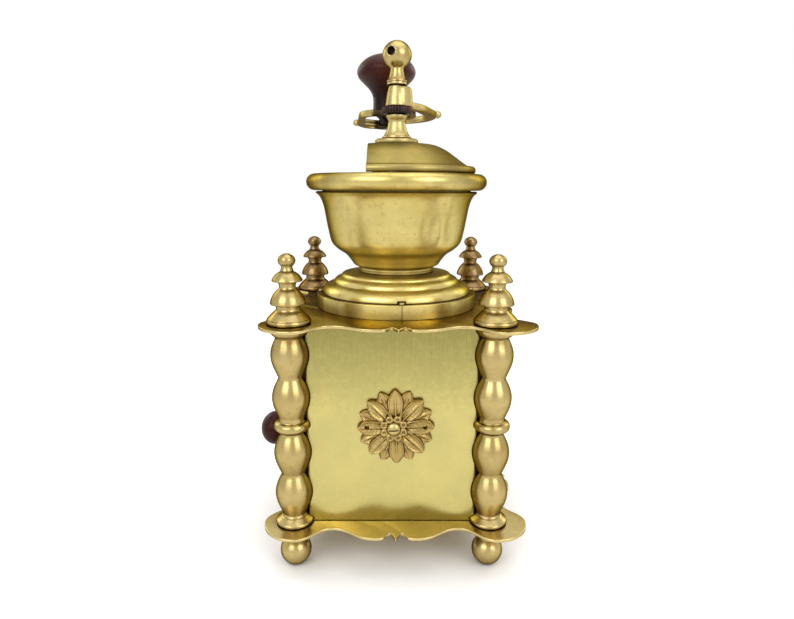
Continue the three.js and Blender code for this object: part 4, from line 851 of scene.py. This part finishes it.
def rosette_petal(length, width, base, crown, sides=25, steps=30):
    """A pointed leaf along +X with a raised rim, a midrib between two furrows, and veins"""
    rings = []
    for i in range(steps + 1):
        t = i / steps
        x = 2.0 + (length - 2.0) * t
        swell = math.sin(math.pi / 2 * min(t / 0.66 + 0.10, 1)) ** 1.05
        taper = max(1 - max(0, (t - 0.66) / 0.34) ** 1.7, 0) ** 0.78
        half = width * swell * taper + 0.04
        top = []
        for k in range(sides):
            v = 2 * k / (sides - 1) - 1
            out = abs(v)
            side = out * half
            rim = 0.85 * math.exp(-((out - 0.82) / 0.13) ** 2) * min(1, half)
            midrib = 0.6 * math.exp(-(side / 0.5) ** 2) * (1 - t * t)
            furrow = 0.6 * math.exp(-((side - 1.15) / 0.5) ** 2) * (1 - t) ** 0.5
            fade = min(1, 3 * out) ** 2
            vein = 0.05 * math.sin(2 * math.pi * (x / 1.7 - out * 1.3)) * fade * (1 - out) * 2
            body = crown * (0.62 + 0.38 * math.sin(math.pi * t)) * (1 - out ** 9) ** 0.5
            top.append((x, v * half, base + body + rim + midrib - furrow + vein + 0.35 * t * t))
        rings.append(top + [(px, py, 0.15) for px, py, _ in top[::-1]])
    return loft(rings)


def rosette():
    """Two rings of petals and a ring of florets, cast in one piece with two nail holes"""
    node = "rosette"
    z = (low(node) + high(node)) / 2
    out = POST_AT + GAP
    step = 360 / PETALS
    shapes = [cylinder(13.0, 0.1, 1.0, 96)]
    rings = ((rosette_petal(19.5, 4.0, 0.4, 0.7), step / 2), (rosette_petal(19.4, 4.1, 1.0, 1.0), 0))
    for petal, offset in rings:
        shapes += [spun(petal, ROSETTE_TURN + math.radians(offset + step * k)) for k in range(PETALS)]
    shapes.append(moved(turned([(0, 0.5), (5.2, 0.5), (5.0, 2.2), (4.0, 2.7), (0, 2.7)]), *SCREW_OFF))
    bell = [(0, 1.2), (1.3, 1.4), *arc(1.3, 2.55, 0.72, 0.65, -60, 150, 12), (0.45, 2.2), (0, 2.5)]
    for k in range(PETALS):
        a = ROSETTE_TURN + math.radians(step / 2 + step * k)
        x, y = FLORETS_AT * math.cos(a) + SCREW_OFF[0], FLORETS_AT * math.sin(a) + SCREW_OFF[1]
        shapes.append(moved(turned(bell, 32), x, y))
    points, faces = joined(*shapes)
    points[:, 2] = np.minimum(points[:, 2], front_of(node) - out - 0.05)
    flower = start(node, facing_front((points, faces)))
    flower.data.transform(Matrix.Translation((0, -out / 1000, z / 1000)))
    cast(flower, ROSETTE_VOXEL, 2)
    holes = [moved(facing_front(cylinder(1.2, -1, 9, 24)), side * 14.5, -out, z) for side in (-1, 1)]
    cut(flower, *holes, crease=CAST_CREASE)
    done(flower, node, cast_brass, all_ways)

    seat = front_of("rosette_screw") - SCREW_DOME

    def seated(shape):
        return moved(facing_front(shape), SCREW_OFF[0], -seat, z + SCREW_OFF[1])

    line = [(0, -7.5), (2.0, -7.5), (2.0, 0), (3.3, 0), *arc(0, 0, 3.5, SCREW_DOME, 4, 90, 12)]
    screw = start("rosette_screw", seated(turned(line, 48)))
    cut(screw, seated(spun(block(4, 0.35, 1.1, 4), math.radians(3))))
    done(screw, "rosette_screw", polished_brass, all_ways)


# The hopper

DENTS = (
    # Angle and height of the middle, width and height, depth
    (-62, 25, 6.0, 9.0, 1.6), (-52, 24, 3.5, 8.0, -0.7), (-43, 26, 5.5, 9.0, 1.3),
    (-118, 22, 12.0, 9.0, 0.25), (-80, 15, 9.0, 6.0, 0.35), (60, 24, 9.0, 8.0, 0.5),
)


def dented(shape, foot):
    """Shallow dents in the bowl, the deepest at its right front, where it has been knocked"""
    p = shape[0].copy()
    a = np.arctan2(p[:, 1], p[:, 0])
    r = np.hypot(p[:, 0], p[:, 1])
    inward = np.zeros(len(p))
    for angle, z, wide, tall, depth in DENTS:
        across = (a - math.radians(angle) + math.pi) % (2 * math.pi) - math.pi
        inward += depth * np.exp(-(across * r / wide) ** 2 - ((p[:, 2] - foot - z) / tall) ** 2)
    scale = 1 - inward / np.maximum(r, 1)
    p[:, 0] *= scale
    p[:, 1] *= scale
    return p, shape[1]


def quarter_points(radius, turn=HOPPER_TURN):
    angles = [turn + k * math.pi / 2 for k in (-1, 0, 1, 2)]
    return [(radius * math.cos(a), radius * math.sin(a)) for a in angles]


def slotted_screw(node, shape, slot, spot, material):
    screw = start(node, moved(shape, *spot))
    cut(screw, moved(slot, *spot))
    done(screw, node, material)


def hopper():
    base, top = levels("hopper_band")
    base -= 0.25
    outer, inner = 44.0, 39.4
    ring = rounded([(inner, base), (outer, base), (outer, top), (inner, top)], 0.35, 4)
    seam = 0.35 / outer
    front = HOPPER_TURN - math.pi / 2
    band = start("hopper_band", lathe(ring, begin=front + seam / 2, sweep=2 * math.pi - seam))
    screws = quarter_points(BAND_SCREW_AT)
    cut(band, *(moved(cylinder(1.8, base + 1.5, top + 2, 32), x, y) for x, y in screws))
    done(band, "hopper_band", band_brass)

    foot = low("hopper_base")
    path = arc(35.2, foot + 0.2, 5.8, 4.9, 0, 82, 18)
    path += arc(31, foot + 5.3, 3.7, 3.2, 2, 82, 12)
    path += arc(28.2, foot + 8.9, 2.3, 1.8, 8, 88, 8)
    path += [(26.5, foot + 10.75), (21.8, foot + 11.1), (19.2, foot + 11.2)]
    skirt = start("hopper_base", lathe(sheet_along(path)))
    cut(skirt, *(moved(cylinder(2.4, foot - 1, foot + 1.5, 32), x, y) for x, y in screws))
    done(skirt, "hopper_base", band_brass)

    foot = low("hopper_bowl")
    path = [(20.4, 0), (20.4, 0.9), (20.2, 1.1), (20.4, 1.3), (20.4, 2.2)]
    path += through([(21.0, 2.5), (23.4, 3.7), (25.2, 6.2), (28.0, 9.4), (32.6, 12.6), (35.6, 16.2),
                     (37.2, 22.5), (38.4, 29.0), (39.4, 34.5), (40.6, 38.3), (41.9, 40.6), (43.8, 42.3)], 8)
    make("hopper_bowl", dented(lathe(sheet_along(raised(path, foot))), foot), spun_brass)

    for index, (x, y) in enumerate(screws):
        node = f"band_screw_{index + 1}"
        bottom, head = levels(node)
        profile = [(0, bottom), (1.0, bottom), (1.0, head - 1.1), (1.65, head - 1.1), (1.65, head - 0.5),
                   (1.3, head - 0.15), (0, head)]
        slot = spun(block(2, 0.2, head - 0.6, head + 1), 0.4 + index)
        slotted_screw(node, turned(profile, 32), slot, (x, y), polished_brass)


def dome_path():
    foot, top = levels("lid_dome")
    flange = RIM_RADIUS - 6.1
    path = [(flange - 4.2, foot - 0.2), (flange - 0.6, foot - 0.2)]
    path += arc(flange - 1.75, foot + 1.4, 1.75, 2.0, -40, 78, 14)
    path += [(flange - 2.4, foot + 3.42), (flange - 3.4, foot + 3.5)]
    path += through([(38.1, foot + 3.85), (36.4, foot + 4.95), (33.9, top - 8.3), (31.3, top - 6.4),
                     (26.6, top - 3.2), (21.7, top - 0.95), (17.5, top - 0.1), (13.0, top)], 7)
    return path + [(4.8, top)]


def lid():
    """The rolled rim, the fixed dome and the shutter that turns under it"""
    foot, top = low("hopper_bowl") + 43.4, high("lid_rim")
    bead_at = RIM_RADIUS - RIM_BEAD
    bore, wall, skirt = RIM_RADIUS - 9.6, 1.2, 3.0
    middle = (foot + top) / 2
    half = (top - foot - GAP) / 2
    back = bead_at - 2.7
    outline = [(back, foot + GAP), *arc(bead_at, middle, RIM_BEAD, half, -90, 90, 22), (bore, top),
               (bore, foot - skirt), (bore + wall, foot - skirt), (bore + wall, top - wall),
               *arc(bead_at, middle, RIM_BEAD - wall, half - wall, 90, -90, 10), (back, foot + GAP + wall)]
    make("lid_rim", lathe(rounded(outline, 0.35)), spun_brass)

    foot, top = levels("lid_dome")
    dome = start("lid_dome", lathe(rounded(sheet_along(dome_path(), -1.2), 0.3)))
    slice_off(dome, DOME_CUT)
    done(dome, "lid_dome", dome_brass)

    ceiling = high("lid_shutter")
    path = [(37.8, foot + GAP), (37.8, foot + 2.0)]
    path += through([(37.3, foot + 2.5), (35.2, foot + 3.4), (30.2, top - 8.4), (25.8, top - 5.2),
                     (21.3, top - 3.0), (17.2, ceiling - 0.05), (13.0, ceiling)], 6)
    path += [(4.9, ceiling)]
    shutter = start("lid_shutter", lathe(rounded(sheet_along(path, -0.8), 0.2), 200))
    slice_off(shutter, SHUTTER_CUT)
    done(shutter, "lid_shutter", spun_brass)


def upper_bearing():
    foot, top = levels("bearing_collar")
    collar = rounded([(4.8, foot), (11.5, foot), (11.5, top - 0.6), (10.6, top), (4.8, top)], 0.5, 5)
    make("bearing_collar", lathe(collar, 120), polished_brass)

    stub, top = levels("bearing_sleeve")
    foot = top - 12.2
    spool = [(2.8, stub), (4.5, stub), (4.5, foot), (7.6, foot), (7.8, 0.4 + foot), (7.6, 1.0 + foot)]
    spool += raised(through([(7.1, 1.2), (6.1, 2.8), (5.25, 5.0), (4.75, 6.8), (4.5, 8.2), (4.75, 9.2),
                             (5.35, 10.3), (5.7, 11.2)], 7), foot)
    spool += [(5.72, foot + 11.7), (5.5, foot + 12.1), (4.2, foot + 12.2)]
    make("bearing_sleeve", lathe([*spool, (2.8, top)], POST_ROUND), polished_brass)
    make("sleeve_nut", hexagon(7.5, 4.8, *levels("sleeve_nut")), bright_steel)


def hexagon(radius, bore, bottom, top):
    """A six-sided nut with chamfered corners: rings that go from round to hexagonal and back"""
    a = 2 * math.pi * np.arange(72) / 72
    flat = radius * math.cos(math.pi / 6) / np.cos((a + math.pi / 6) % (math.pi / 3) - math.pi / 6)
    face = np.minimum(flat, radius * 0.93)
    chamfer = 0.35 * (top - bottom) * np.clip((flat - face) / radius * 8, 0, 1)

    def ring(r, z):
        return np.stack([r * np.cos(a), r * np.sin(a), np.broadcast_to(z, a.shape)], 1)

    return loft([ring(bore, bottom), ring(face - 0.1, bottom), ring(flat, bottom + 0.15 + chamfer),
                 ring(flat, top - 0.15 - chamfer), ring(face - 0.1, top), ring(bore, top),
                 ring(bore, bottom)], capped=False)


# The burrs and the shaft

def toothed(rows, teeth, heights, crest, depth, twist, saw=(0.0, 0.35, 0.7, 1.0, 0.9, 0.25)):
    """Rings of a cone with twisted teeth; each pair of numbers holds at the bottom and the top"""
    rings = []
    count = teeth * len(saw)
    a = 2 * math.pi * np.arange(count) / count
    rise = np.array([saw[j % len(saw)] for j in range(count)])
    for i in range(rows + 1):
        t = i / rows
        r = crest[0] + (crest[1] - crest[0]) * t - (depth[0] + (depth[1] - depth[0]) * t) * (1 - rise)
        b = a + twist * t
        z = heights[0] + (heights[1] - heights[0]) * t
        rings.append(np.stack([r * np.cos(b), r * np.sin(b), np.full(count, z)], 1))
    return rings


def grinding():
    foot, head = levels("inner_burr")
    rings = toothed(24, 10, (foot, head), (15.0, 8.6), (0.8, 2.4), 0.95)
    a = np.linspace(0, 2 * math.pi, len(rings[0]), endpoint=False)
    circle = np.stack([SHAFT_BORE * np.cos(a), SHAFT_BORE * np.sin(a)], 1)
    bore = [at_height(circle, head), at_height(circle, foot)]
    make("inner_burr", loft([*rings, *bore, rings[0]], capped=False), burr_iron, crease=28.0)

    deck = high("top_plate")
    flange_foot, flange_top, throat_top = deck + GAP, deck + 3.0, deck + 20.3
    outer = [(18.7, foot), (18.7, flange_foot), (30, flange_foot), (30, flange_top), (18.7, flange_top),
             (18.7, throat_top), (16, throat_top)]
    line = [(0, foot), *rounded(outer, closed=False), (0, throat_top)]
    housing = start("burr_housing", turned(line, 144))
    space = toothed(16, 12, (foot - 1, head + 1), (17.0, 14.1), (1.3, 1.3), -0.47)
    screws = quarter_points(BURR_SCREW_AT, 0)
    cut(housing, loft(space), cylinder(16, head, deck + 30, 144))
    cut(housing, *(moved(cylinder(2.1, deck, deck + 9, 24), x, y) for x, y in screws))
    done(housing, "burr_housing", burr_iron)

    for index, (x, y) in enumerate(screws):
        node = f"burr_screw_{index + 1}"
        bottom, top = levels(node)
        profile = [(0, bottom), (1.8, bottom), (1.8, top - 2), (3.3, top - 2)]
        profile += arc(0, top - 1.6, 3.3, 1.6, 0, 90, 8)
        slot = spun(block(4, 0.4, top - 0.9, top + 1), 0.7 * index)
        slotted_screw(node, turned(profile, 40), slot, (x, y), bright_steel)

    make("burr_nut", hexagon(7, SHAFT_BORE, *levels("burr_nut")), bright_steel)
    bottom, top = levels("drive_shaft")
    step = low("bearing_sleeve") - 6.0
    square_foot = low("adjusting_nut") + 1.7
    shaft = [(0, bottom), (3.4, bottom), (4.0, bottom + 0.8), (4.0, step), (2.5, step + 1.5),
             (2.5, square_foot), (2.0, square_foot), (2.0, top - 0.4), (1.6, top), (0, top)]
    square = block(SHAFT_SQUARE, SHAFT_SQUARE, square_foot, high("crank_arm") - 1.7, 0.15, 2)
    make("drive_shaft", joined(turned(shaft, 48), square), bright_steel)


# The crank

ARM_BARS = (
    # Each stop of a bar: across, along and width
    ((0, 0, 9), (-2, 18, 6), (1, 36, 5), (4, 54, 5), (2, 72, 5), (-3, 90, 5), (0, 105, 9)),
    ((2, 3, 8), (7.7, 10.5, 6), (14, 18.4, 5.5), (19.6, 32, 5.5), (25, 48, 5.5), (24.2, 65, 5),
     (18.5, 77, 5), (10.5, 83.5, 5), (3, 91, 5.5), (-2, 98, 6)),
    ((3, 8, 4), (9, 26, 3), (13, 42, 2.8), (12, 57, 2.8), (3, 75, 3)),
    ((1, 36, 5), (-5, 42, 4.5), (-11.5, 43.5, 4.5), (-16.5, 51, 4.5), (-17.5, 66, 4.5), (-17.5, 84, 5),
     (-17.5, 100, 5.5), (-13.5, 114, 5.5), (-6, 119.5, 5.5), (-0.5, 112, 6)),
    ((-8, 44, 4), (-5.5, 60, 3.5), (-4, 75, 3.5), (-3, 90, 3.5), (0, 102, 4)),
    ((-17, 92, 6), (-9, 98, 6), (0, 105, 7)),
)
ARM_BUDS = ((28.2, 47, 2.4), (-21, 98, 2.4))
HUB_SHOULDER_AT = (2.9, 1.5)


def arm_levels():
    """The underside and the top of the arm's bars"""
    hub_foot = high("adjusting_nut") + GAP
    return hub_foot, hub_foot + ARM_THICKNESS


def bar(stops, bottom, top):
    line = np.array(through([s[:2] for s in stops], 10))
    width = np.array(through([(i, s[2]) for i, s in enumerate(stops)], 10))[:, 1]
    ahead = np.gradient(line, axis=0)
    ahead /= np.linalg.norm(ahead, axis=1)[:, None]
    side = np.stack([-ahead[:, 1], ahead[:, 0]], 1) * width[:, None] / 2
    return prism([*map(tuple, line - side), *map(tuple, (line + side)[::-1])], bottom, top, 0.9, 3)


def crank_arm():
    """The hub, six bars, two buds, the boss under the handle and the hub's shoulder, cast in one piece"""
    hub_foot, arm_top = arm_levels()
    boss_foot, hub_top = levels("crank_arm")
    hub = [(0, hub_foot), (6.0, hub_foot), (6.1, hub_foot + 0.4), (5.75, hub_foot + 2.5),
           (5.35, hub_foot + 5.5), (4.75, hub_top - 2.6), (4.3, hub_top - 0.9), (3.9, hub_top - 0.1),
           (3.6, hub_top), (0, hub_top)]
    shapes = [turned(hub, 72)]
    shapes += [bar(stops, hub_foot, arm_top) for stops in ARM_BARS]
    middle = (hub_foot + arm_top) / 2
    for x, y, r in ARM_BUDS:
        bud = [(0, hub_foot - 0.3), *arc(0, middle, r, 2.2, -80, 80, 10), (0, arm_top + 0.3)]
        shapes.append(moved(turned(bud, 32), x, y))
    boss = rounded([(0, boss_foot), (8.5, boss_foot), (8.5, arm_top), (0, arm_top)], 0.8, 4, closed=False)
    shapes.append(moved(turned(boss), 0, ARM_LENGTH))
    shoulder = [(0, 0), (5.7, 0), (5.5, 5.0), (5.15, 8.6), (4.7, 9.7), (3.8, 10.3), (0, 10.3)]
    for share, grow in ((0.4, 0.25), (0.7, 0.15), (1.0, 0.0)):
        part = turned([(r + grow if r else 0, hub_foot + z) for r, z in shoulder])
        shapes.append(moved(part, HUB_SHOULDER_AT[0] * share, HUB_SHOULDER_AT[1] * share))
    arm = start("crank_arm", spun(joined(*shapes), ARM_TURN))
    cast(arm, ARM_VOXEL, 4)
    square = block(SHAFT_SQUARE + GAP, SHAFT_SQUARE + GAP, hub_foot - 5, hub_top + 5)
    pin_bore = moved(cylinder(3.3, boss_foot - 2, arm_top + 2, 32), *HANDLE_AT)
    cut(arm, spun(square, ARM_TURN), pin_bore, crease=CAST_CREASE)
    done(arm, "crank_arm", arm_brass, all_ways)


def crank_nuts():
    notches = 30
    tooth = (7.8, 7.75, 7.3, 7.35)
    outline = []
    for j in range(notches * len(tooth)):
        a = 2 * math.pi * j / (notches * len(tooth))
        outline.append((tooth[j % len(tooth)] * math.cos(a), tooth[j % len(tooth)] * math.sin(a)))
    bottom, top = levels("adjusting_nut")
    nut = start("adjusting_nut", prism(outline, bottom, top, 0.35, 2))
    cut(nut, cylinder(2.8, bottom - 1, top + 1, 32))
    done(nut, "adjusting_nut", dark_steel)

    bottom, top = low("crank_washer") - 0.2, high("crank_washer") + 0.2
    washer = rounded([(2.3, bottom), (5.2, bottom), (5.2, top), (2.3, top)], 0.15)
    make("crank_washer", lathe(washer, SMALL_ROUND), polished_brass)
    ball_nut()


def ball_nut():
    """A ball on a flared neck, with a cross hole whose bore takes the dark steel as painted shade"""
    foot, top = levels("ball_nut")
    ball = 7.7
    centre = top - 0.3 - ball
    line = [(0, foot + 9), (2.3, foot + 9), (2.3, foot), (5.4, foot), (5.55, foot + 0.2), (5.5, foot + 0.6)]
    line += through([(5.2, foot + 0.95), (4.5, foot + 2.1), (3.9, foot + 3.8), (3.55, foot + 5.4),
                     (3.4, centre - 6.3)], 6)
    line += [(3.5, centre - 6.1)]
    line += through([(4.1, centre - 5.5), (5.2, centre - 4.75), (6.4, centre - 3.5), (7.3, centre - 1.8),
                     (7.68, centre - 0.3)], 6)
    line += arc(0, centre, ball, ball, 3, 90, 24)
    knob = start("ball_nut", turned(line, POST_ROUND))

    bore, mouth = 2.2, 2.9
    hole = [(0, -9), (mouth, -9), (mouth, -7.4), (bore, -6.9), (bore, 6.9), (mouth, 7.4), (mouth, 9), (0, 9)]
    hole_turn = -math.radians(27)
    hole_at = (0, 0, centre + 1.5)
    cut(knob, moved(spun(facing_front(turned(hole, 40)), hole_turn), *hole_at))
    done(knob, "ball_nut", turned_brass)
    # The faces inside the cross hole take the dark steel, painted shade in the bore
    knob.data.materials.append(dark_steel)
    drilled = np.array([math.sin(hole_turn), -math.cos(hole_turn), 0])
    for face in knob.data.polygons:
        p = (np.array(face.center) - axis) * 1000 - hole_at
        depth = p @ drilled
        if abs(depth) < 6.6 and np.linalg.norm(p - depth * drilled) < bore + 0.1:
            face.material_index = 1


def handle():
    ferrule = low("crank_handle") - GAP
    foot, top = levels("handle_pin")
    flange = arm_levels()[1] + GAP
    pin = [(0, foot), (2.7, foot), (3.0, foot + 0.3), (3.0, flange), (5.0, flange), (5.25, flange + 0.3)]
    pin += through([(5.25, ferrule - 3.8), (4.95, ferrule - 3.0), (4.85, ferrule - 2.0),
                    (5.1, ferrule - 1.1)], 4)
    pin += [(5.28, ferrule - 0.8), (5.28, ferrule - 0.25), (5.0, ferrule), (3.0, ferrule)]
    pin += [(3.0, top - 2.0), (4.2, top - 2.0), (4.2, top - 0.9), (3.6, top - 0.35), (0, top)]

    def lay(p):
        return round_upright(p, HANDLE_AT)

    make("handle_pin", moved(turned(pin), *HANDLE_AT), dark_steel, lay)

    foot, top = levels("crank_handle")
    bore = 3.35
    line = [(bore, foot), (8.7, foot), (9.2, foot + 0.25), (9.45, foot + 0.8), (9.4, foot + 1.6)]
    line += raised(through([(9.3, 3.0), (9.2, 5.5), (9.15, 8.5), (9.35, 11.0), (10.3, 13.8), (12.2, 16.6),
                            (14.3, 18.7), (17.0, 21.3), (19.2, 23.8), (20.2, 26.6), (20.0, 28.9),
                            (19.0, 31.0), (17.3, 33.2), (14.6, 35.5), (11.6, 37.2), (8.2, 38.4),
                            (5.6, 38.95)], 6), foot)
    line += [(4.6, foot + 39.0), (4.55, top - 2.9), (bore, top - 2.9)]

    def grain(p):
        return np.stack([p[:, 0] - HANDLE_AT[0], p[:, 1] - HANDLE_AT[1], p[:, 2] * 0.1], 1)

    make("crank_handle", moved(lathe(line, POST_ROUND), *HANDLE_AT), wood, grain)


# The nodes that keep their solids' shape

def keep_shapes():
    kept = {"sheet_brass": plate_brass, "burr_iron": burr_iron, "bright_steel": bright_steel}
    for node, obj in frame["nodes"].items():
        if not obj.hide_render:
            obj.data.materials.clear()
            obj.data.materials.append(kept[slot_of[node]])


# The studio

CAMERA_DISTANCE = 325.05
CAMERA_HEIGHT = 192.76
CAMERA_SIDE = 0.6
CAMERA_PITCH = math.radians(11.764)
CAMERA_YAW = math.radians(0.401)
CAMERA_ROLL = math.radians(0.272)
FOCAL_PIXELS = 584.5
PICTURE_WIDTH = 794
SENSOR = 36.0
WHITE = (1, 1, 1, 1)
FLOOR_HALF = 6.0
LAMPS = {
    # Place in metres, power, width and height
    "key": ((-0.60, -0.95, 0.85), 7.0, 0.8, 0.7),
    "fill": ((0.75, -0.85, 0.70), 5.0, 0.7, 0.7),
    "top": ((0.1, 0.1, 1.2), 5.0, 1.0, 1.0),
    "back_left": ((-0.9, 0.75, 0.6), 3.0, 0.6, 0.6),
    "back_right": ((0.9, 0.75, 0.6), 3.0, 0.6, 0.6),
}


def place(name, data):
    obj = bpy.data.objects.new(name, data)
    bpy.context.scene.collection.objects.link(obj)
    return obj


def camera():
    data = bpy.data.cameras.new("camera")
    data.sensor_width = SENSOR
    data.lens = FOCAL_PIXELS / PICTURE_WIDTH * SENSOR
    obj = place("camera", data)
    c, s = math.cos(CAMERA_YAW), math.sin(CAMERA_YAW)
    x = c * CAMERA_SIDE - s * CAMERA_DISTANCE
    y = -s * CAMERA_SIDE - c * CAMERA_DISTANCE
    obj.location = Vector((x, y, CAMERA_HEIGHT)) / 1000 + Vector(axis)
    obj.rotation_mode = "XYZ"
    obj.rotation_euler = (math.pi / 2 - CAMERA_PITCH, 0.0, -CAMERA_YAW)
    obj.rotation_euler.rotate_axis("Z", CAMERA_ROLL)
    bpy.context.scene.camera = obj


def seen(tree):
    """1 for the rays that show the background: camera, glossy and transmission"""
    path = shader(tree, "LightPath")
    glossy = maths(tree, "MAXIMUM", path.outputs["Is Camera Ray"], path.outputs["Is Glossy Ray"])
    return maths(tree, "MAXIMUM", glossy, path.outputs["Is Transmission Ray"])


def glow(tree, strength):
    values = {"Color": WHITE, "Strength": times(tree, seen(tree), strength)}
    return shader(tree, "Emission", values)


def floor():
    """Pale floor that fades to white away from the object and keeps its shadow, deepened by painted shadow where
    its glow fades near the object
    """
    mesh = bpy.data.meshes.new("floor")
    corners = [(-FLOOR_HALF, -FLOOR_HALF, 0), (FLOOR_HALF, -FLOOR_HALF, 0), (FLOOR_HALF, FLOOR_HALF, 0),
               (-FLOOR_HALF, FLOOR_HALF, 0)]
    mesh.from_pydata(corners, [], [(0, 1, 2, 3)])
    obj = place("floor", mesh)
    material, tree, output = blank("floor")
    coordinates = shader(tree, "TexCoord").outputs["Object"]
    distance = shader(tree, "VectorMath", {0: coordinates}, operation="LENGTH").outputs["Value"]
    diffuse = shader(tree, "BsdfDiffuse", {"Color": (0.80, 0.79, 0.78, 1.0)})
    # The glow fades where ambient occlusion finds the object close: a painted shadow over the real one
    occlusion = shader(tree, "AmbientOcclusion", {"Distance": 0.07}, samples=16, only_local=False)
    lift = glow(tree, times(tree, ramp(tree, occlusion.outputs["AO"], 0.22, 0.88), 0.46))
    near = shader(tree, "AddShader", {0: diffuse.outputs[0], 1: lift.outputs[0]})
    white = glow(tree, 1.0)
    plain = shader(tree, "BsdfDiffuse", {"Color": (0.85, 0.85, 0.85, 1.0)})
    far = shader(tree, "MixShader", {0: seen(tree), 1: plain.outputs[0], 2: white.outputs[0]})
    away = ramp(tree, distance, 0.25, 1.1)
    both = shader(tree, "MixShader", {0: away, 1: near.outputs[0], 2: far.outputs[0]})
    tree.links.new(both.outputs[0], output.inputs[0])
    mesh.materials.append(material)


def lamp(name, spot, power, width, height):
    data = bpy.data.lights.new(name, "AREA")
    data.shape = "RECTANGLE"
    data.size = width
    data.size_y = height
    data.energy = power
    obj = place(name, data)
    obj.location = Vector(spot)
    aim = Vector((axis[0], axis[1], 0.13))
    obj.rotation_euler = (obj.location - aim).to_track_quat("Z", "Y").to_euler()


def studio():
    world = bpy.data.worlds.new("studio")
    bpy.context.scene.world = world
    world.use_nodes = True
    tree = world.node_tree
    tree.nodes.clear()
    output = tree.nodes.new("ShaderNodeOutputWorld")
    strength = ramp(tree, seen(tree), 0.0, 1.0, 0.45, 1.0)
    background = shader(tree, "Background", {"Color": WHITE, "Strength": strength})
    tree.links.new(background.outputs[0], output.inputs[0])
    for name, settings in LAMPS.items():
        lamp(name, *settings)
    bpy.context.scene.view_settings.view_transform = "Standard"


columns()
plates()
panels()
drawer()
rosette()
hopper()
lid()
upper_bearing()
grinding()
crank_arm()
crank_nuts()
handle()
keep_shapes()
camera()
floor()
studio()
